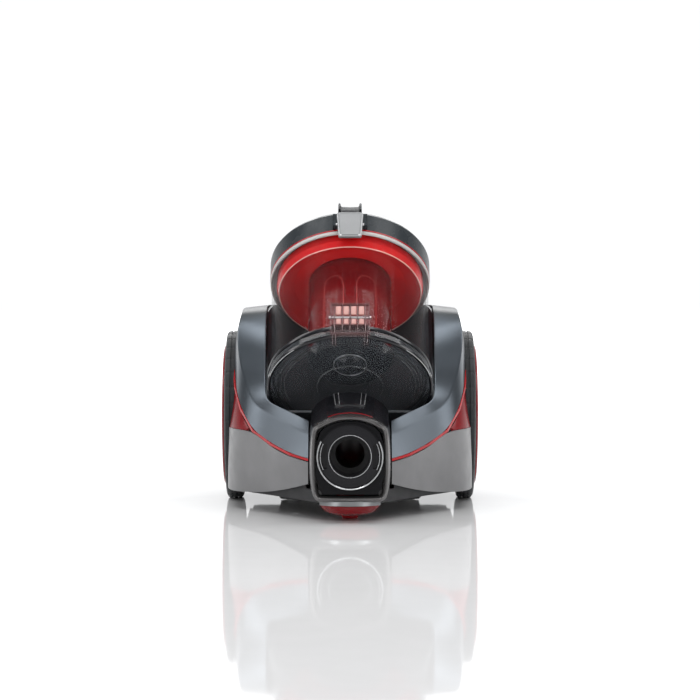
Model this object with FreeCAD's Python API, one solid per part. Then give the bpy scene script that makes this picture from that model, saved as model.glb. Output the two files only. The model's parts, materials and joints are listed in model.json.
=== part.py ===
import FreeCAD, Part
import math
import os

from FreeCAD import Rotation, Vector

# Bagless cylinder vacuum cleaner: a wheeled body carrying a clear dust bin that leans back between two
# shoulders, with the hose port low at the front and a carry handle on the bin.
# Millimetres. X is to the right as seen from the front, +Y points to the back, +Z up, and the floor is Z = 0.
# The origin is on the floor, under the middle of the machine.

os.makedirs("parts", exist_ok=True)

# ---------------------------------------------------------------- driving dimensions
BODY_BACK = 190.0            # rear end of the body, and the hose port's frame is as far in front
SKIN = 3.0                   # wall of the outer mouldings
GAP = 0.4                    # parting gap between neighbouring mouldings

BIN_TILT = 42.0              # the bin's axis leans back this much from upright
BIN_Y = -75.0                # middle of the bin's lower rim
BIN_Z = 141.0
TANK_R = 87.0                # clear tank, outer radius
TANK_WALL = 2.5
TANK_TOP = 142.0             # heights in the bin are measured along its axis, from the lower rim
LID_TOP = 169.0
LID_R = 89.0
DOOR_R = 90.0
CRADLE_R = 91.5              # trough in the body that the bin rests in
CRADLE_WALL = 2.5
TUBE_R = 46.0                # tinted cyclone tube in the middle of the bin
TUBE_FOOT = 28.0

WHEEL_R = 95.0
WHEEL_Y = 80.0
WHEEL_IN = 120.5             # inner and outer faces of the tyre
WHEEL_OUT = 139.5
ARCH_R = 101.0               # opening in the side panels round the wheel
AXLE_R = 5.0
RUN_FIT = 0.06               # radial clearance of a turning fit

PORT_Z = 70.0                # hose port
PORT_BORE = 21.0
PORT_LENGTH = 36.0

CASTER_Y = -150.0            # swivel pin of the front caster
CASTER_TRAIL = 8.0
CASTER_R = 13.0

MOTOR_Y = 108.0              # motor and cord reel share one cross shaft line
MOTOR_Z = 87.0

X_AXIS = Vector(1, 0, 0)
Y_AXIS = Vector(0, 1, 0)
Z_AXIS = Vector(0, 0, 1)
BIN_TURN = Rotation(X_AXIS, -BIN_TILT)
BIN_AXIS = BIN_TURN.multVec(Z_AXIS)


# ---------------------------------------------------------------- helpers
def save(node, *solids):
    """One STEP file for each named piece; several solids go in as a group."""
    shape = solids[0] if len(solids) == 1 else Part.makeCompound(list(solids))
    shape.exportStep("parts/" + node + ".step")


def rod(radius, length, base, axis):
    return Part.makeCylinder(radius, length, base, axis)


def pipe(outer, inner, length, base, axis):
    extra = axis * 1.0
    return rod(outer, length, base, axis).cut(rod(inner, length + 2, base - extra, axis))


def block(x0, x1, y0, y1, z0, z1):
    return Part.makeBox(x1 - x0, y1 - y0, z1 - z0, Vector(x0, y0, z0))


def spin(points, at=Vector(0, 0, 0), axis=Z_AXIS):
    """Solid of revolution from (radius, height) points, about an axis through at."""
    outline = [Vector(r, 0, h) for r, h in points]
    solid = Part.Face(Part.makePolygon(outline + outline[:1])).revolve(Vector(0, 0, 0), Z_AXIS, 360)
    turn = Rotation(Z_AXIS, axis)
    solid.rotate(Vector(0, 0, 0), turn.Axis, math.degrees(turn.Angle))
    solid.translate(at)
    return solid


def main_solid(shape):
    """The one large solid of a trimmed shape, without stray offcuts."""
    return max(shape.Solids, key=lambda piece: piece.Volume)


def plan(outline, z0, z1):
    """Plan outline, as (x, y) points on the right-hand side, mirrored and carried from z0 to z1."""
    right = [Vector(x, y, z0) for x, y in outline]
    left = [Vector(-x, y, z0) for x, y in reversed(outline) if x > 0]
    points = right + left
    return Part.Face(Part.makePolygon(points + points[:1])).extrude(Vector(0, 0, z1 - z0))


def mirrored(shape):
    return shape.mirror(Vector(0, 0, 0), X_AXIS)


def in_bin(shape):
    """Carries a shape from the bin's own upright frame to its place: its axis leans back."""
    placed = shape.copy()
    placed.rotate(Vector(0, 0, 0), X_AXIS, -BIN_TILT)
    placed.translate(Vector(0, BIN_Y, BIN_Z))
    return placed


def bin_point(x, y, z):
    return BIN_TURN.multVec(Vector(x, y, z)) + Vector(0, BIN_Y, BIN_Z)


def curve_through(points):
    line = Part.BSplineCurve()
    line.interpolate(points)
    return line


def skin_solid(stations, corners_out, end_planes):
    """A shell panel. Each station is a row of outer points; the panel is SKIN thick, on the side away from
    corners_out, a direction for each station. Each end lies flat in a plane: an axis index and a value."""
    count = len(stations[0])
    inner = []
    for i, row in enumerate(stations):
        before = stations[max(i - 1, 0)]
        after = stations[min(i + 1, len(stations) - 1)]
        normals = []
        for j in range(count - 1):
            along = (after[j] + after[j + 1]) - (before[j] + before[j + 1])
            normal = along.cross(row[j + 1] - row[j])
            normal.normalize()
            if normal.dot(corners_out[i][min(j, len(corners_out[i]) - 1)]) < 0:
                normal = normal * -1
            normals.append(normal)
        inner_row = []
        for j in range(count):
            near = [normals[k] for k in (j - 1, j) if 0 <= k < count - 1]
            mean = near[0] if len(near) == 1 else (near[0] + near[1]) * (1 / (1 + near[0].dot(near[1])))
            inner_row.append(row[j] - mean * SKIN)
        inner.append(inner_row)
    for i, (index, value) in ((0, end_planes[0]), (len(stations) - 1, end_planes[1])):
        for row in (stations[i], inner[i]):
            for point in row:
                point[index] = value
    rings = [row + list(reversed(back)) for row, back in zip(stations, inner)]
    lines = [curve_through([ring[k] for ring in rings]).toShape() for k in range(len(rings[0]))]
    faces = [Part.makeRuledSurface(lines[k - 1], lines[k], 1) for k in range(len(lines))]
    for ring in (rings[0], rings[-1]):
        faces.append(Part.Face(Part.makePolygon(ring + ring[:1])))
    shell = Part.makeShell(faces)
    shell.sewShape()
    solid = Part.makeSolid(Part.makeShell(shell.Faces))
    return solid if solid.Volume > 0 else solid.reversed()


def loft(sections, ruled=True):
    """Solid through closed sections, each a list of points."""
    wires = [Part.makePolygon(points + points[:1]) for points in sections]
    return Part.makeLoft(wires, True, ruled)


# ---------------------------------------------------------------- character lines of the body, right-hand side
# From the hose port at the front, up the shoulder, over its top and down to the back:
# foot of the inner flange, inner edge, crease, lower edge.
ARM_X = 44.2                 # flat inner end of the forward arm, beside the port
SHOULDER = [
    ((ARM_X, -121, 92), (ARM_X, -124, 104), (ARM_X, -142, 91), (ARM_X, -159, 66)),
    ((58, -106, 98), (58, -110, 110), (62, -117, 96), (63, -139, 70)),
    ((75, -85, 104), (75, -89, 116), (83, -87, 105), (84, -108, 78)),
    ((90, -64, 112), (90, -70, 123), (102, -60, 114), (105, -74, 90)),
    ((91.8, -42, 134), (91.8, -55, 140), (114, -42, 137), (119, -44, 111)),
    ((91.8, -28, 152), (91.8, -42, 160), (121.5, -30, 165), (126, -20, 133)),
    ((91.8, -17, 172), (91.8, -31, 183), (124.5, -16, 191), (128, 4, 160)),
    ((91.8, 6, 198), (91.8, -6, 213), (121, 3, 212), (128.5, 26, 178)),
    ((91.8, 40, 206), (91.8, 40, 221), (119, 45, 218), (127, 55, 188)),
    ((91.8, 80, 202), (91.8, 85, 217), (118, 88, 213), (123, 90, 190)),
    ((91.8, 114, 188), (91.8, 125, 199), (116.5, 126, 195), (118.5, 122, 180)),
    ((91.8, 144, 158), (91.8, 158, 163), (115, 156, 160), (116.5, 150, 152)),
    ((91.8, 164, 112), (91.8, 180, 115), (114, 177, 113), (115, 168, 112)),
    ((91.8, 171, 62), (91.8, 188, 62), (112, 185, 62), (113.5, 173, 62)),
]
PANEL_FOOT = 88.0            # level seam between the red panel and the skirt
BEAD = 2.7                   # height of the red bead along the shoulder's lower edge
SKIRT = [                    # (upper edge, lower edge)
    ((ARM_X, -159.5, 62), (ARM_X, -161, 39)),
    ((63.5, -139.5, 66), (66, -132, 31)),
    ((84.5, -108.5, 74), (91, -95, 24)),
    ((106.5, -76, 86), (113, -66, 21)),
    ((125, -47, PANEL_FOOT), (127, -44, 20)),
    ((133, -22, PANEL_FOOT), (134, -20, 20)),
    ((134.5, 22, PANEL_FOOT), (134.5, 22, 20)),
]
RED_PANEL = [                # (upper edge, lower edge) from the tip of the wedge back to the wheel arch
    ((110, -64, 91), (113, -64, 88.4)),
    ((119.2, -43.5, 105.5), (124.5, -47.5, 88.4)),
    ((126.3, -18, 128), (132.6, -22, 88.4)),
    ((128.6, 8, 158), (134.2, 22, 88.4)),
]


def vectors(row):
    return [Vector(*point) for point in row]


def arch_cutter():
    """Round opening for the right-hand wheel."""
    return rod(ARCH_R, 60, Vector(113, WHEEL_Y, WHEEL_R), X_AXIS)


# ---------------------------------------------------------------- outer mouldings
def shoulder_shell():
    """Gunmetal side moulding: forward arm, shoulder and rear corner in one piece."""
    rows = [vectors(row) for row in SHOULDER]
    outward = []
    for i in range(len(rows)):
        face = Vector(0, -1, 1) if i < 8 else Vector(0, 0.6, 0.8)
        outward.append([Vector(-1, 0, 0), face, Vector(1, 0, 0)])
    shell = skin_solid(rows, outward, ((0, ARM_X), (2, 62)))
    return main_solid(shell.cut(arch_cutter()))


def bead_strip():
    """Red bead along the lower edge of the arm, from the port to the wheel arch."""
    line = [Vector(*row[3]) for row in SHOULDER[:7]]
    sections = []
    for i, point in enumerate(line):
        along = line[min(i + 1, len(line) - 1)] - line[max(i - 1, 0)]
        along.normalize()
        out = Vector(1, -0.6, 0)
        out = out - along * out.dot(along)
        out.normalize()
        down = along.cross(out)
        if down.z > 0:
            down = down * -1
        top = point + down * GAP
        foot = top + down * BEAD
        sections.append([top + out * 1.0, foot + out * 1.0, foot - out * 2.2, top - out * 2.2])
    for corner in sections[0]:
        corner.x = ARM_X
    strip = loft(sections).cut(arch_cutter()).cut(side_skirt()).cut(shoulder_shell())
    return main_solid(strip)


def lower_panel(rows, first_plane, last_plane):
    points = [vectors(row) for row in rows]
    outward = [[Vector(1, -1, 0)] for _ in points]
    panel = skin_solid(points, outward, (first_plane, last_plane))
    return main_solid(panel.cut(arch_cutter()))


def side_skirt():
    return lower_panel(SKIRT, (0, ARM_X), (1, 22))


def accent_panel():
    """Red wedge between the shoulder and the skirt, trimmed to its neighbours."""
    points = [vectors(row) for row in RED_PANEL]
    points[-1][0].y = points[-1][1].y
    panel = skin_solid(points, [[Vector(1, -1, 0)]] * len(points), ((1, -64), (1, 22)))
    panel = panel.cut(arch_cutter()).cut(side_skirt()).cut(bead_strip()).cut(shoulder_shell())
    return main_solid(panel)


def deck_line():
    """The shoulders' inner edge from beside the bin to the back, as (y, z)."""
    points = [(row[1][1], row[1][2]) for row in SHOULDER[8:]]
    return [(30, 221.2)] + points


def rear_cover():
    """Middle panel behind the bin, with openings for the pedals, the exhaust grille and the cord."""
    half = 91.4
    outer = [Vector(-half, y, z) for y, z in deck_line()]
    inner = []
    for i, point in enumerate(outer):
        along = outer[min(i + 1, len(outer) - 1)] - outer[max(i - 1, 0)]
        normal = Vector(0, -along.z, along.y)
        normal.normalize()
        inner.append(point - normal * SKIN)
    inner[-1].z = outer[-1].z
    cover = slab(outer, inner, 2 * half)
    cover = cover.cut(bin_room(CRADLE_R + CRADLE_WALL + 0.2))
    cover = cover.cut(grille_frame(block(-GRILLE_X - GAP, GRILLE_X + GAP, -30, 30, -GAP, GRILLE_HEIGHT + GAP)))
    for side in (-1, 1):
        cover = cover.cut(pedal_pad(side * PEDAL_X, GAP, -20, 20))
    return main_solid(cover.cut(rod(CORD_HOLE_R + 3.7, 30, Vector(CORD_X, 170, CORD_Z), Y_AXIS)))


def slab(upper, lower, width):
    """Plate between two side curves, carried across in +X."""
    top = curve_through(upper).toShape()
    foot = curve_through(lower).toShape()
    ends = [Part.makeLine(upper[-1], lower[-1]), Part.makeLine(lower[0], upper[0])]
    wire = Part.Wire(Part.__sortEdges__([top, foot] + ends))
    return Part.Face(wire).extrude(Vector(width, 0, 0))


# ---------------------------------------------------------------- pedals, grille and cord outlet
GRILLE_X = 52.0              # exhaust grille: half width, foot and height, leaning with the back
GRILLE_HEIGHT = 56.0
GRILLE_FOOT = Vector(0, 186.4, 84)
GRILLE_LEAN = 15.0
PEDAL_X = 46.0
PEDAL_AT = Vector(0, 141.5, 183.0)
PEDAL_SLOPE = 47.0           # slope of the deck under the pedals
PEDAL_TRAVEL = 4.0
CORD_X = -72.0
CORD_Z = 74.0
CORD_HOLE_R = 4.5


def grille_frame(shape):
    placed = shape.copy()
    placed.rotate(Vector(0, 0, 0), X_AXIS, GRILLE_LEAN)
    placed.translate(GRILLE_FOOT)
    return placed


def exhaust_grille():
    """Slotted cover over the exhaust filter, slightly proud of the rear cover."""
    plate = block(-GRILLE_X, GRILLE_X, -2, 3.2, 0, GRILLE_HEIGHT)
    slots = []
    for k in range(6):
        z = 6 + k * 8
        for x0 in (-46, 4):
            slots.append(block(x0, x0 + 42, -10, 10, z, z + 4))
    return grille_frame(plate.cut(Part.makeCompound(slots)))


def exhaust_filter():
    return grille_frame(block(-50, 50, -10, -2.1, 3, GRILLE_HEIGHT - 3))


def pedal_frame(shape):
    placed = shape.copy()
    placed.rotate(Vector(0, 0, 0), X_AXIS, -PEDAL_SLOPE)
    placed.translate(PEDAL_AT)
    return placed


def pedal_pad(x, grow, low, high):
    half_x = 24 + grow
    half_y = 12 + grow
    pad = block(x - half_x, x + half_x, -half_y, half_y, low, high)
    corners = [e for e in pad.Edges if abs(e.tangentAt(e.FirstParameter).z) > 0.9]
    return pedal_frame(pad.makeFillet(9 + grow, corners))


def pedal(x):
    """Foot pedal with a stem that slides in its guide."""
    return pedal_pad(x, 0, -5, 4).fuse(pedal_frame(rod(3, 17, Vector(x, 0, -21), Z_AXIS)))


def coil(radius, wire, turns, height, base):
    """Compression spring: a wire swept along a helix about +Z."""
    helix = Part.makeHelix((height - 2 * wire) / turns, height - 2 * wire, radius)
    profile = Part.Wire(Part.makeCircle(wire, Vector(radius, 0, 0), Y_AXIS))
    solid = Part.Wire(helix.Edges).makePipeShell([profile], True, True)
    solid.translate(base + Vector(0, 0, wire))
    return solid


def pedal_springs():
    """The two return springs, at the length they have with the pedals pressed home."""
    return [pedal_frame(coil(4.6, 0.7, 3, 7.0, Vector(side * PEDAL_X, 0, -16.4))) for side in (-1, 1)]


def pedal_guide():
    """Bracket under the rear cover: a sleeve for each stem, joined by a bar that hangs on two posts."""
    bar = block(-PEDAL_X, PEDAL_X, 9, 13, -22.5, -18)
    for x in (-14, 14):
        bar = bar.fuse(block(x - 4, x + 4, 9, 13, -22.5, 0))
    for side in (-1, 1):
        x = side * PEDAL_X
        bar = bar.fuse(rod(9, 6, Vector(x, 0, -22.5), Z_AXIS))
        bar = bar.fuse(block(x - 4, x + 4, 0, 13, -22.5, -18))
        bar = bar.cut(rod(3 + RUN_FIT, 12, Vector(x, 0, -26), Z_AXIS))
    return main_solid(pedal_frame(bar.removeSplitter()).cut(rear_cover()))


def cord_gland():
    """Rubber grommet where the mains cord leaves the back."""
    sleeve = pipe(CORD_HOLE_R + 3.5, CORD_HOLE_R, 10, Vector(CORD_X, 180, CORD_Z), Y_AXIS)
    collar = pipe(CORD_HOLE_R + 6, CORD_HOLE_R, 1.8, Vector(CORD_X, BODY_BACK - 1.8, CORD_Z), Y_AXIS)
    return sleeve.fuse(collar).removeSplitter()


# ---------------------------------------------------------------- chassis
BASE_OUTLINE = [
    (0, -172), (30, -172), (40, -157), (59.5, -129.5), (84.5, -93), (106.5, -64), (120.5, -42),
    (129, -19), (129.6, 24), (113.4, 24), (113.4, 176), (107, 184), (0, 184),
]
BELLY_OUTLINE = [(0, -52), (52, -52), (76, -34), (80, 0), (80, 140), (66, 160), (0, 160)]
BASE_Z = 20.0
BELLY_Z = 10.0
WALL_TOP = 60.0
SCREWS = [(-60, -10), (60, -10), (-60, 132), (60, 132)]


def room_inside(outline, amount, z):
    """The same plan outline, smaller by amount all round, as a tall room that starts at z."""
    points = [Vector(x, y, 0) for x, y in outline] + [Vector(-x, y, 0) for x, y in reversed(outline) if x > 0]
    face = Part.Face(Part.makePolygon(points + points[:1])).makeOffset2D(-amount, join=2)
    face.translate(Vector(0, 0, z))
    return face.extrude(Vector(0, 0, 100))


def base_pan():
    """Floor tray with a deeper belly, a pocket for the caster and a boss for its pin."""
    tray = plan(BASE_OUTLINE, BASE_Z, WALL_TOP).fuse(plan(BELLY_OUTLINE, BELLY_Z, BASE_Z + 1))
    tray = tray.cut(room_inside(BASE_OUTLINE, SKIN, BASE_Z + SKIN))
    tray = tray.cut(room_inside(BELLY_OUTLINE, SKIN, BELLY_Z + SKIN))
    tray = tray.cut(block(-46.5, 46.5, -200, -100, 33, 100))
    roof = rod(29, 13, Vector(0, CASTER_Y, BASE_Z), Z_AXIS).common(plan(BASE_OUTLINE, BASE_Z, 33))
    tray = tray.fuse(roof).cut(rod(26.5, 20, Vector(0, CASTER_Y, 9), Z_AXIS))
    tray = tray.fuse(rod(9, 14, Vector(0, CASTER_Y, 29), Z_AXIS))
    tray = tray.cut(rod(4 + RUN_FIT, 40, Vector(0, CASTER_Y, 10), Z_AXIS))
    tray = tray.cut(arch_cutter()).cut(mirrored(arch_cutter()))
    for x, y in SCREWS:
        tray = tray.cut(rod(2.02, 10, Vector(x, y, 5), Z_AXIS))
    return main_solid(tray.removeSplitter())


def base_screws():
    """Four pan-head screws in the belly."""
    heads = []
    for x, y in SCREWS:
        heads.append(rod(4, 1.6, Vector(x, y, BELLY_Z - 1.6), Z_AXIS).fuse(rod(2, 9, Vector(x, y, BELLY_Z), Z_AXIS)))
    return heads


def bin_room(radius, low=-300.0):
    """Everything the bin passes through on its way up: a channel open to the front and top."""
    channel = rod(radius, 700, Vector(0, 0, low), Z_AXIS)
    return in_bin(channel.fuse(block(-radius, radius, -700, 0, low, low + 700)))


def below_deck(inset):
    """All that lies under the shoulders' inner edge, by inset or more."""
    line = [(row[1][1], row[1][2]) for row in SHOULDER[3:]]
    outline = [Vector(-200, y, z) for y, z in line + [(188, -60), (-190, -60), (-190, 40)]]
    face = Part.Face(Part.makePolygon(outline + outline[:1]))
    if inset:
        face = face.makeOffset2D(-inset, join=2)
    return face.extrude(Vector(400, 0, 0))


AIR_X = 26.0                 # window between the bin's lid and the motor room
AIR_W0 = 147.0
AIR_W1 = 161.0


def cradle():
    """Trough that the bin lies in, open to the front and top, with a seat wall behind the hose port."""
    outer = CRADLE_R + CRADLE_WALL
    trough = rod(outer, 190, Vector(0, 0, -15), Z_AXIS).fuse(block(-outer, outer, -240, 0, -15, 175))
    walls = in_bin(trough).cut(bin_room(CRADLE_R, -12))
    walls = walls.cut(in_bin(block(-200, 200, -300, 34, -16, -11.99)))
    middle = block(-91, 91, -300, 300, -50, 400)
    sides = block(-120, 120, -300, 300, -50, 400).cut(middle)
    inner_part = walls.common(middle).common(below_deck(0.6))
    side_part = walls.common(sides).common(below_deck(19))
    walls = inner_part.fuse(side_part)
    walls = walls.cut(in_bin(rod(20.3, 20, Vector(0, 62, -20), Z_AXIS)))
    walls = walls.cut(in_bin(block(-AIR_X, AIR_X, 80, 120, AIR_W0, AIR_W1)))
    walls = walls.cut(shoulder_shell()).cut(mirrored(shoulder_shell()))
    return main_solid(walls)


def air_seal():
    """Rubber frame round the window in the trough that meets the lid."""
    ring = pipe(CRADLE_R, LID_R + 0.5, AIR_W1 - AIR_W0 + 7, Vector(0, 0, AIR_W0 - 3.5), Z_AXIS)
    ring = ring.common(block(-AIR_X - 3.5, AIR_X + 3.5, 50, 120, 0, 300))
    return in_bin(ring.cut(block(-AIR_X, AIR_X, 50, 120, AIR_W0, AIR_W1)))


def wheel_arch():
    """Liner between the body and the right-hand wheel, with a boss for the axle."""
    at = Vector(113.4, WHEEL_Y, WHEEL_R)
    liner = rod(ARCH_R - 0.6, 3.2, at, X_AXIS)
    for reach, low, high in ((17.2, 21, 88), (12.5, 88, 150), (8.5, 150, 220)):
        lip = pipe(ARCH_R - 0.6, ARCH_R - 3, reach, at, X_AXIS)
        liner = liner.fuse(lip.common(block(100, 140, -40, 112 if low > 100 else 30, low, high)))
    liner = liner.common(block(100, 140, -60, 183, 20.4, 240))
    liner = liner.fuse(rod(13, 9.4, Vector(104, WHEEL_Y, WHEEL_R), X_AXIS))
    return liner.cut(rod(AXLE_R + 0.02, 60, Vector(90, WHEEL_Y, WHEEL_R), X_AXIS)).removeSplitter()


def axle():
    """Steel stub axle with a thrust collar and a retaining head."""
    shaft = rod(AXLE_R, 31.8, Vector(104.8, WHEEL_Y, WHEEL_R), X_AXIS)
    collar = rod(9, 4.3, Vector(116.7, WHEEL_Y, WHEEL_R), X_AXIS)
    return shaft.fuse(collar).fuse(rod(9, 2, Vector(136.6, WHEEL_Y, WHEEL_R), X_AXIS))


# ---------------------------------------------------------------- rear wheels
def tyre():
    """Soft tyre with two tread grooves, spun about the wheel's own axis."""
    width = WHEEL_OUT - WHEEL_IN
    points = [
        (84, 0), (91, 0), (94, 1.6), (95, 4), (95, 6.2), (94, 6.6), (94, 7.6), (95, 8),
        (95, 11), (94, 11.4), (94, 12.4), (95, 12.8), (95, width - 4), (94, width - 1.6), (91, width), (84, width),
    ]
    return spin(points, Vector(WHEEL_IN, WHEEL_Y, WHEEL_R), X_AXIS)


def rim():
    """Dished wheel disc with six windows and a hub sleeve that turns on the axle."""
    bore = AXLE_R + RUN_FIT
    points = [
        (bore, 1), (13, 1), (15, 9), (70, 9), (74, 2), (84, 2), (84, 17), (80, 17), (78, 12),
        (22, 12), (22, 15.5), (bore, 15.5),
    ]
    disc = spin(points, Vector(WHEEL_IN, WHEEL_Y, WHEEL_R), X_AXIS)
    for k in range(6):
        window = rod(11, 40, Vector(110, WHEEL_Y, WHEEL_R + 46), X_AXIS)
        window.rotate(Vector(0, WHEEL_Y, WHEEL_R), X_AXIS, 60 * k)
        disc = disc.cut(window)
    return disc


def hub_ring():
    """Red trim ring, the widest point of the machine."""
    points = [(70.5, 12.1), (77, 12.1), (79.4, 17.4), (77.5, 22), (73, 22.5), (70.5, 20)]
    return spin(points, Vector(WHEEL_IN, WHEEL_Y, WHEEL_R), X_AXIS)


def hub_cap():
    """Cap that clips over the middle of the wheel disc and hides the axle head."""
    points = [
        (0, 21.5), (16, 20.8), (24.5, 17.5), (24.5, 12.1), (22.1, 12.1), (22.1, 16.5), (15, 19), (0, 19.5),
    ]
    return spin(points, Vector(WHEEL_IN, WHEEL_Y, WHEEL_R), X_AXIS)


# ---------------------------------------------------------------- front caster
def caster_dome():
    """Round swivel foot with a turret over its wheel and a pin up into the base."""
    foot = [(0, 6), (17, 6), (26, 9), (31, 14), (32, 17), (0, 17)]
    dome = spin(foot, Vector(0, CASTER_Y, 0))
    turret = rod(24.6, 11.6, Vector(0, CASTER_Y, 17), Z_AXIS)
    room = rod(22.4, 11.6, Vector(0, CASTER_Y, 15.4), Z_AXIS)
    wheel_y = CASTER_Y + CASTER_TRAIL
    slot = block(-9.2, 9.2, wheel_y - 14.5, wheel_y + 14.5, 0, 20)
    dome = dome.fuse(turret).cut(room).cut(slot)
    for side in (-1, 1):
        x0, x1 = sorted((side * 9.2, side * 13.2))
        dome = dome.fuse(block(x0, x1, wheel_y - 6, wheel_y + 6, 8, 20))
    dome = dome.fuse(rod(4, 17, Vector(0, CASTER_Y, 27), Z_AXIS))
    dome = dome.cut(rod(1.52, 26.8, Vector(-13.4, wheel_y, CASTER_R), X_AXIS))
    return dome.removeSplitter()


def caster_axle():
    return rod(1.5, 26.4, Vector(-13.2, CASTER_Y + CASTER_TRAIL, CASTER_R), X_AXIS)


def caster_wheel():
    """Small roller, rounded at its edges."""
    points = [(1.56, 0), (11.5, 0), (13, 1.5), (13, 15.5), (11.5, 17), (1.56, 17)]
    return spin(points, Vector(-8.5, CASTER_Y + CASTER_TRAIL, CASTER_R), X_AXIS)


# ---------------------------------------------------------------- hose port
def port_outline(half_top, half_mid, half_low, top, brow, low, y):
    """Outline of the port frame at one depth: a rounded square with a bowed brow."""
    right = [
        (0, brow), (half_top * 0.45, brow - 1.2), (half_top * 0.82, top - 1.5), (half_top, top - 7),
        (half_mid - 1.2, top - 22), (half_mid, (top + low) / 2), (half_mid - 0.8, low + 22),
        (half_low, low + 7), (half_low * 0.88, low), (0, low),
    ]
    points = [Vector(x, y, z) for x, z in right]
    return points + [Vector(-x, y, z) for x, z in reversed(right[1:-1])]


def inlet_frame():
    """Metal-look frame round the hose port, at the very front."""
    front = port_outline(33, 40, 37, 107, 112, 24.5, -BODY_BACK)
    middle = port_outline(36, 42.7, 39.5, 110, 115, 23, -BODY_BACK + 4)
    back = port_outline(37, 43, 40, 110, 115, 23, -BODY_BACK + 15)
    opening = [port_outline(31, 37.5, 33, 103, 107, 30, -BODY_BACK + y) for y in (-1, 16)]
    return loft([front, middle, back]).cut(loft(opening))


def port_face():
    """Gloss plate inside the frame, with the round opening for the socket."""
    plate = loft([port_outline(30.7, 37.2, 32.7, 102.7, 106.7, 30.3, -BODY_BACK + y) for y in (5, 12)])
    return plate.cut(rod(35.1, 40, Vector(0, -BODY_BACK, PORT_Z), Y_AXIS))


def port_ring():
    """Bright trim ring round the socket."""
    return pipe(35.0, 33.1, 9, Vector(0, -BODY_BACK + 3, PORT_Z), Y_AXIS)


def port_socket():
    """Socket that takes the end of the hose, with two latch pockets at its sides."""
    start = Vector(0, -BODY_BACK + 6, PORT_Z)
    socket = rod(33, 8, start, Y_AXIS).fuse(rod(25, PORT_LENGTH, start, Y_AXIS))
    socket = socket.cut(rod(PORT_BORE, PORT_LENGTH + 2, start - Y_AXIS, Y_AXIS))
    for side in (-1, 1):
        x0, x1 = sorted((side * 24, side * 30))
        socket = socket.cut(block(x0, x1, -BODY_BACK, -BODY_BACK + 11, PORT_Z - 13, PORT_Z + 13))
    return socket


def neck_section(half, low, shoulder, top, y):
    """Arched section of the neck behind the port."""
    steps = 10
    points = [Vector(half, y, low)]
    for k in range(steps + 1):
        angle = math.pi * k / steps
        points.append(Vector(half * math.cos(angle), y, shoulder + (top - shoulder) * math.sin(angle)))
    points.append(Vector(-half, y, low))
    return points


def neck_form(inset, front, back):
    """The neck's outer form, or its inner room when inset is the wall."""
    low = 34 + inset
    return loft(
        [
            neck_section(40 - inset, low, 84, 110 - inset, front),
            neck_section(43.3 - inset, low, 92, 119 - inset, -140),
            neck_section(43.8 - inset, low, 100, 131 - inset, -88),
            neck_section(43.8 - inset, low, 100, 131 - inset, back),
        ]
    )


def inlet_neck():
    """Dark hollow neck from the port frame up to the seat wall below the bin."""
    neck = neck_form(0, -BODY_BACK + 15.2, 10).cut(neck_form(SKIN, -BODY_BACK + 14, 20))
    neck = neck.cut(in_bin(block(-200, 200, -300, 300, -16.5, 300)))
    neck = neck.cut(block(-100, 100, -64, 100, 0, 62))
    neck = neck.cut(rod(9.2, 60, Vector(0, CASTER_Y, 10), Z_AXIS))
    return main_solid(neck)


def neck_pad():
    """Raised pad on top of the neck, under the front of the bin."""
    foot = [(-18, -138, 112), (18, -138, 112), (20, -93, 122), (-20, -93, 122)]
    head = [(-14, -134, 122.5), (14, -134, 122.5), (16, -97, 133), (-16, -97, 133)]
    pad = loft([vectors(foot), vectors(head)])
    return main_solid(pad.cut(neck_form(0, -BODY_BACK + 15.2, 10)))


def intake_duct():
    """Pipe from the socket up to the seal under the bin."""
    end = bin_point(0, 62, -15.6)
    start = Vector(0, -BODY_BACK + 6 + PORT_LENGTH, PORT_Z)
    corner = end - BIN_AXIS * ((end.z - start.z) / BIN_AXIS.z)
    bend = 30.0
    tangent = bend * math.tan(math.radians((90 - BIN_TILT) / 2))
    first = corner - Y_AXIS * tangent
    last = corner + BIN_AXIS * tangent
    centre = first + Z_AXIS * bend
    middle = corner - centre
    middle.normalize()
    middle = centre + middle * bend
    edges = [Part.makeLine(start, first), Part.Arc(first, middle, last).toShape(), Part.makeLine(last, end)]
    solids = []
    for radius in (18.0, 15.5):
        ring = Part.Wire(Part.makeCircle(radius, start, Y_AXIS))
        solids.append(Part.Wire(edges).makePipeShell([ring], True, False))
    flange = pipe(25, 15.5, 2.5, start, Y_AXIS)
    return solids[0].fuse(flange).cut(solids[1]).removeSplitter()


def duct_seal():
    """Rubber sleeve between the duct and the port in the bin's door."""
    return in_bin(pipe(20, 15.5, 6.6, Vector(0, 62, -15.5), Z_AXIS))


def front_chin():
    """Bright strip under the port frame."""
    outer = [(-34.5, 22.9), (34.5, 22.9), (32.5, 18), (-32.5, 18)]
    points = [Vector(x, -188, z) for x, z in outer]
    strip = Part.Face(Part.makePolygon(points + points[:1])).extrude(Vector(0, 13, 0))
    return strip.common(rod(46, 30, Vector(0, -142, 0), Z_AXIS))


# ---------------------------------------------------------------- motor, impeller and cord reel
REEL_X0 = -104.0
REEL_X1 = -52.0


def on_shaft(points, x):
    return spin(points, Vector(x, MOTOR_Y, MOTOR_Z), X_AXIS)


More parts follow.
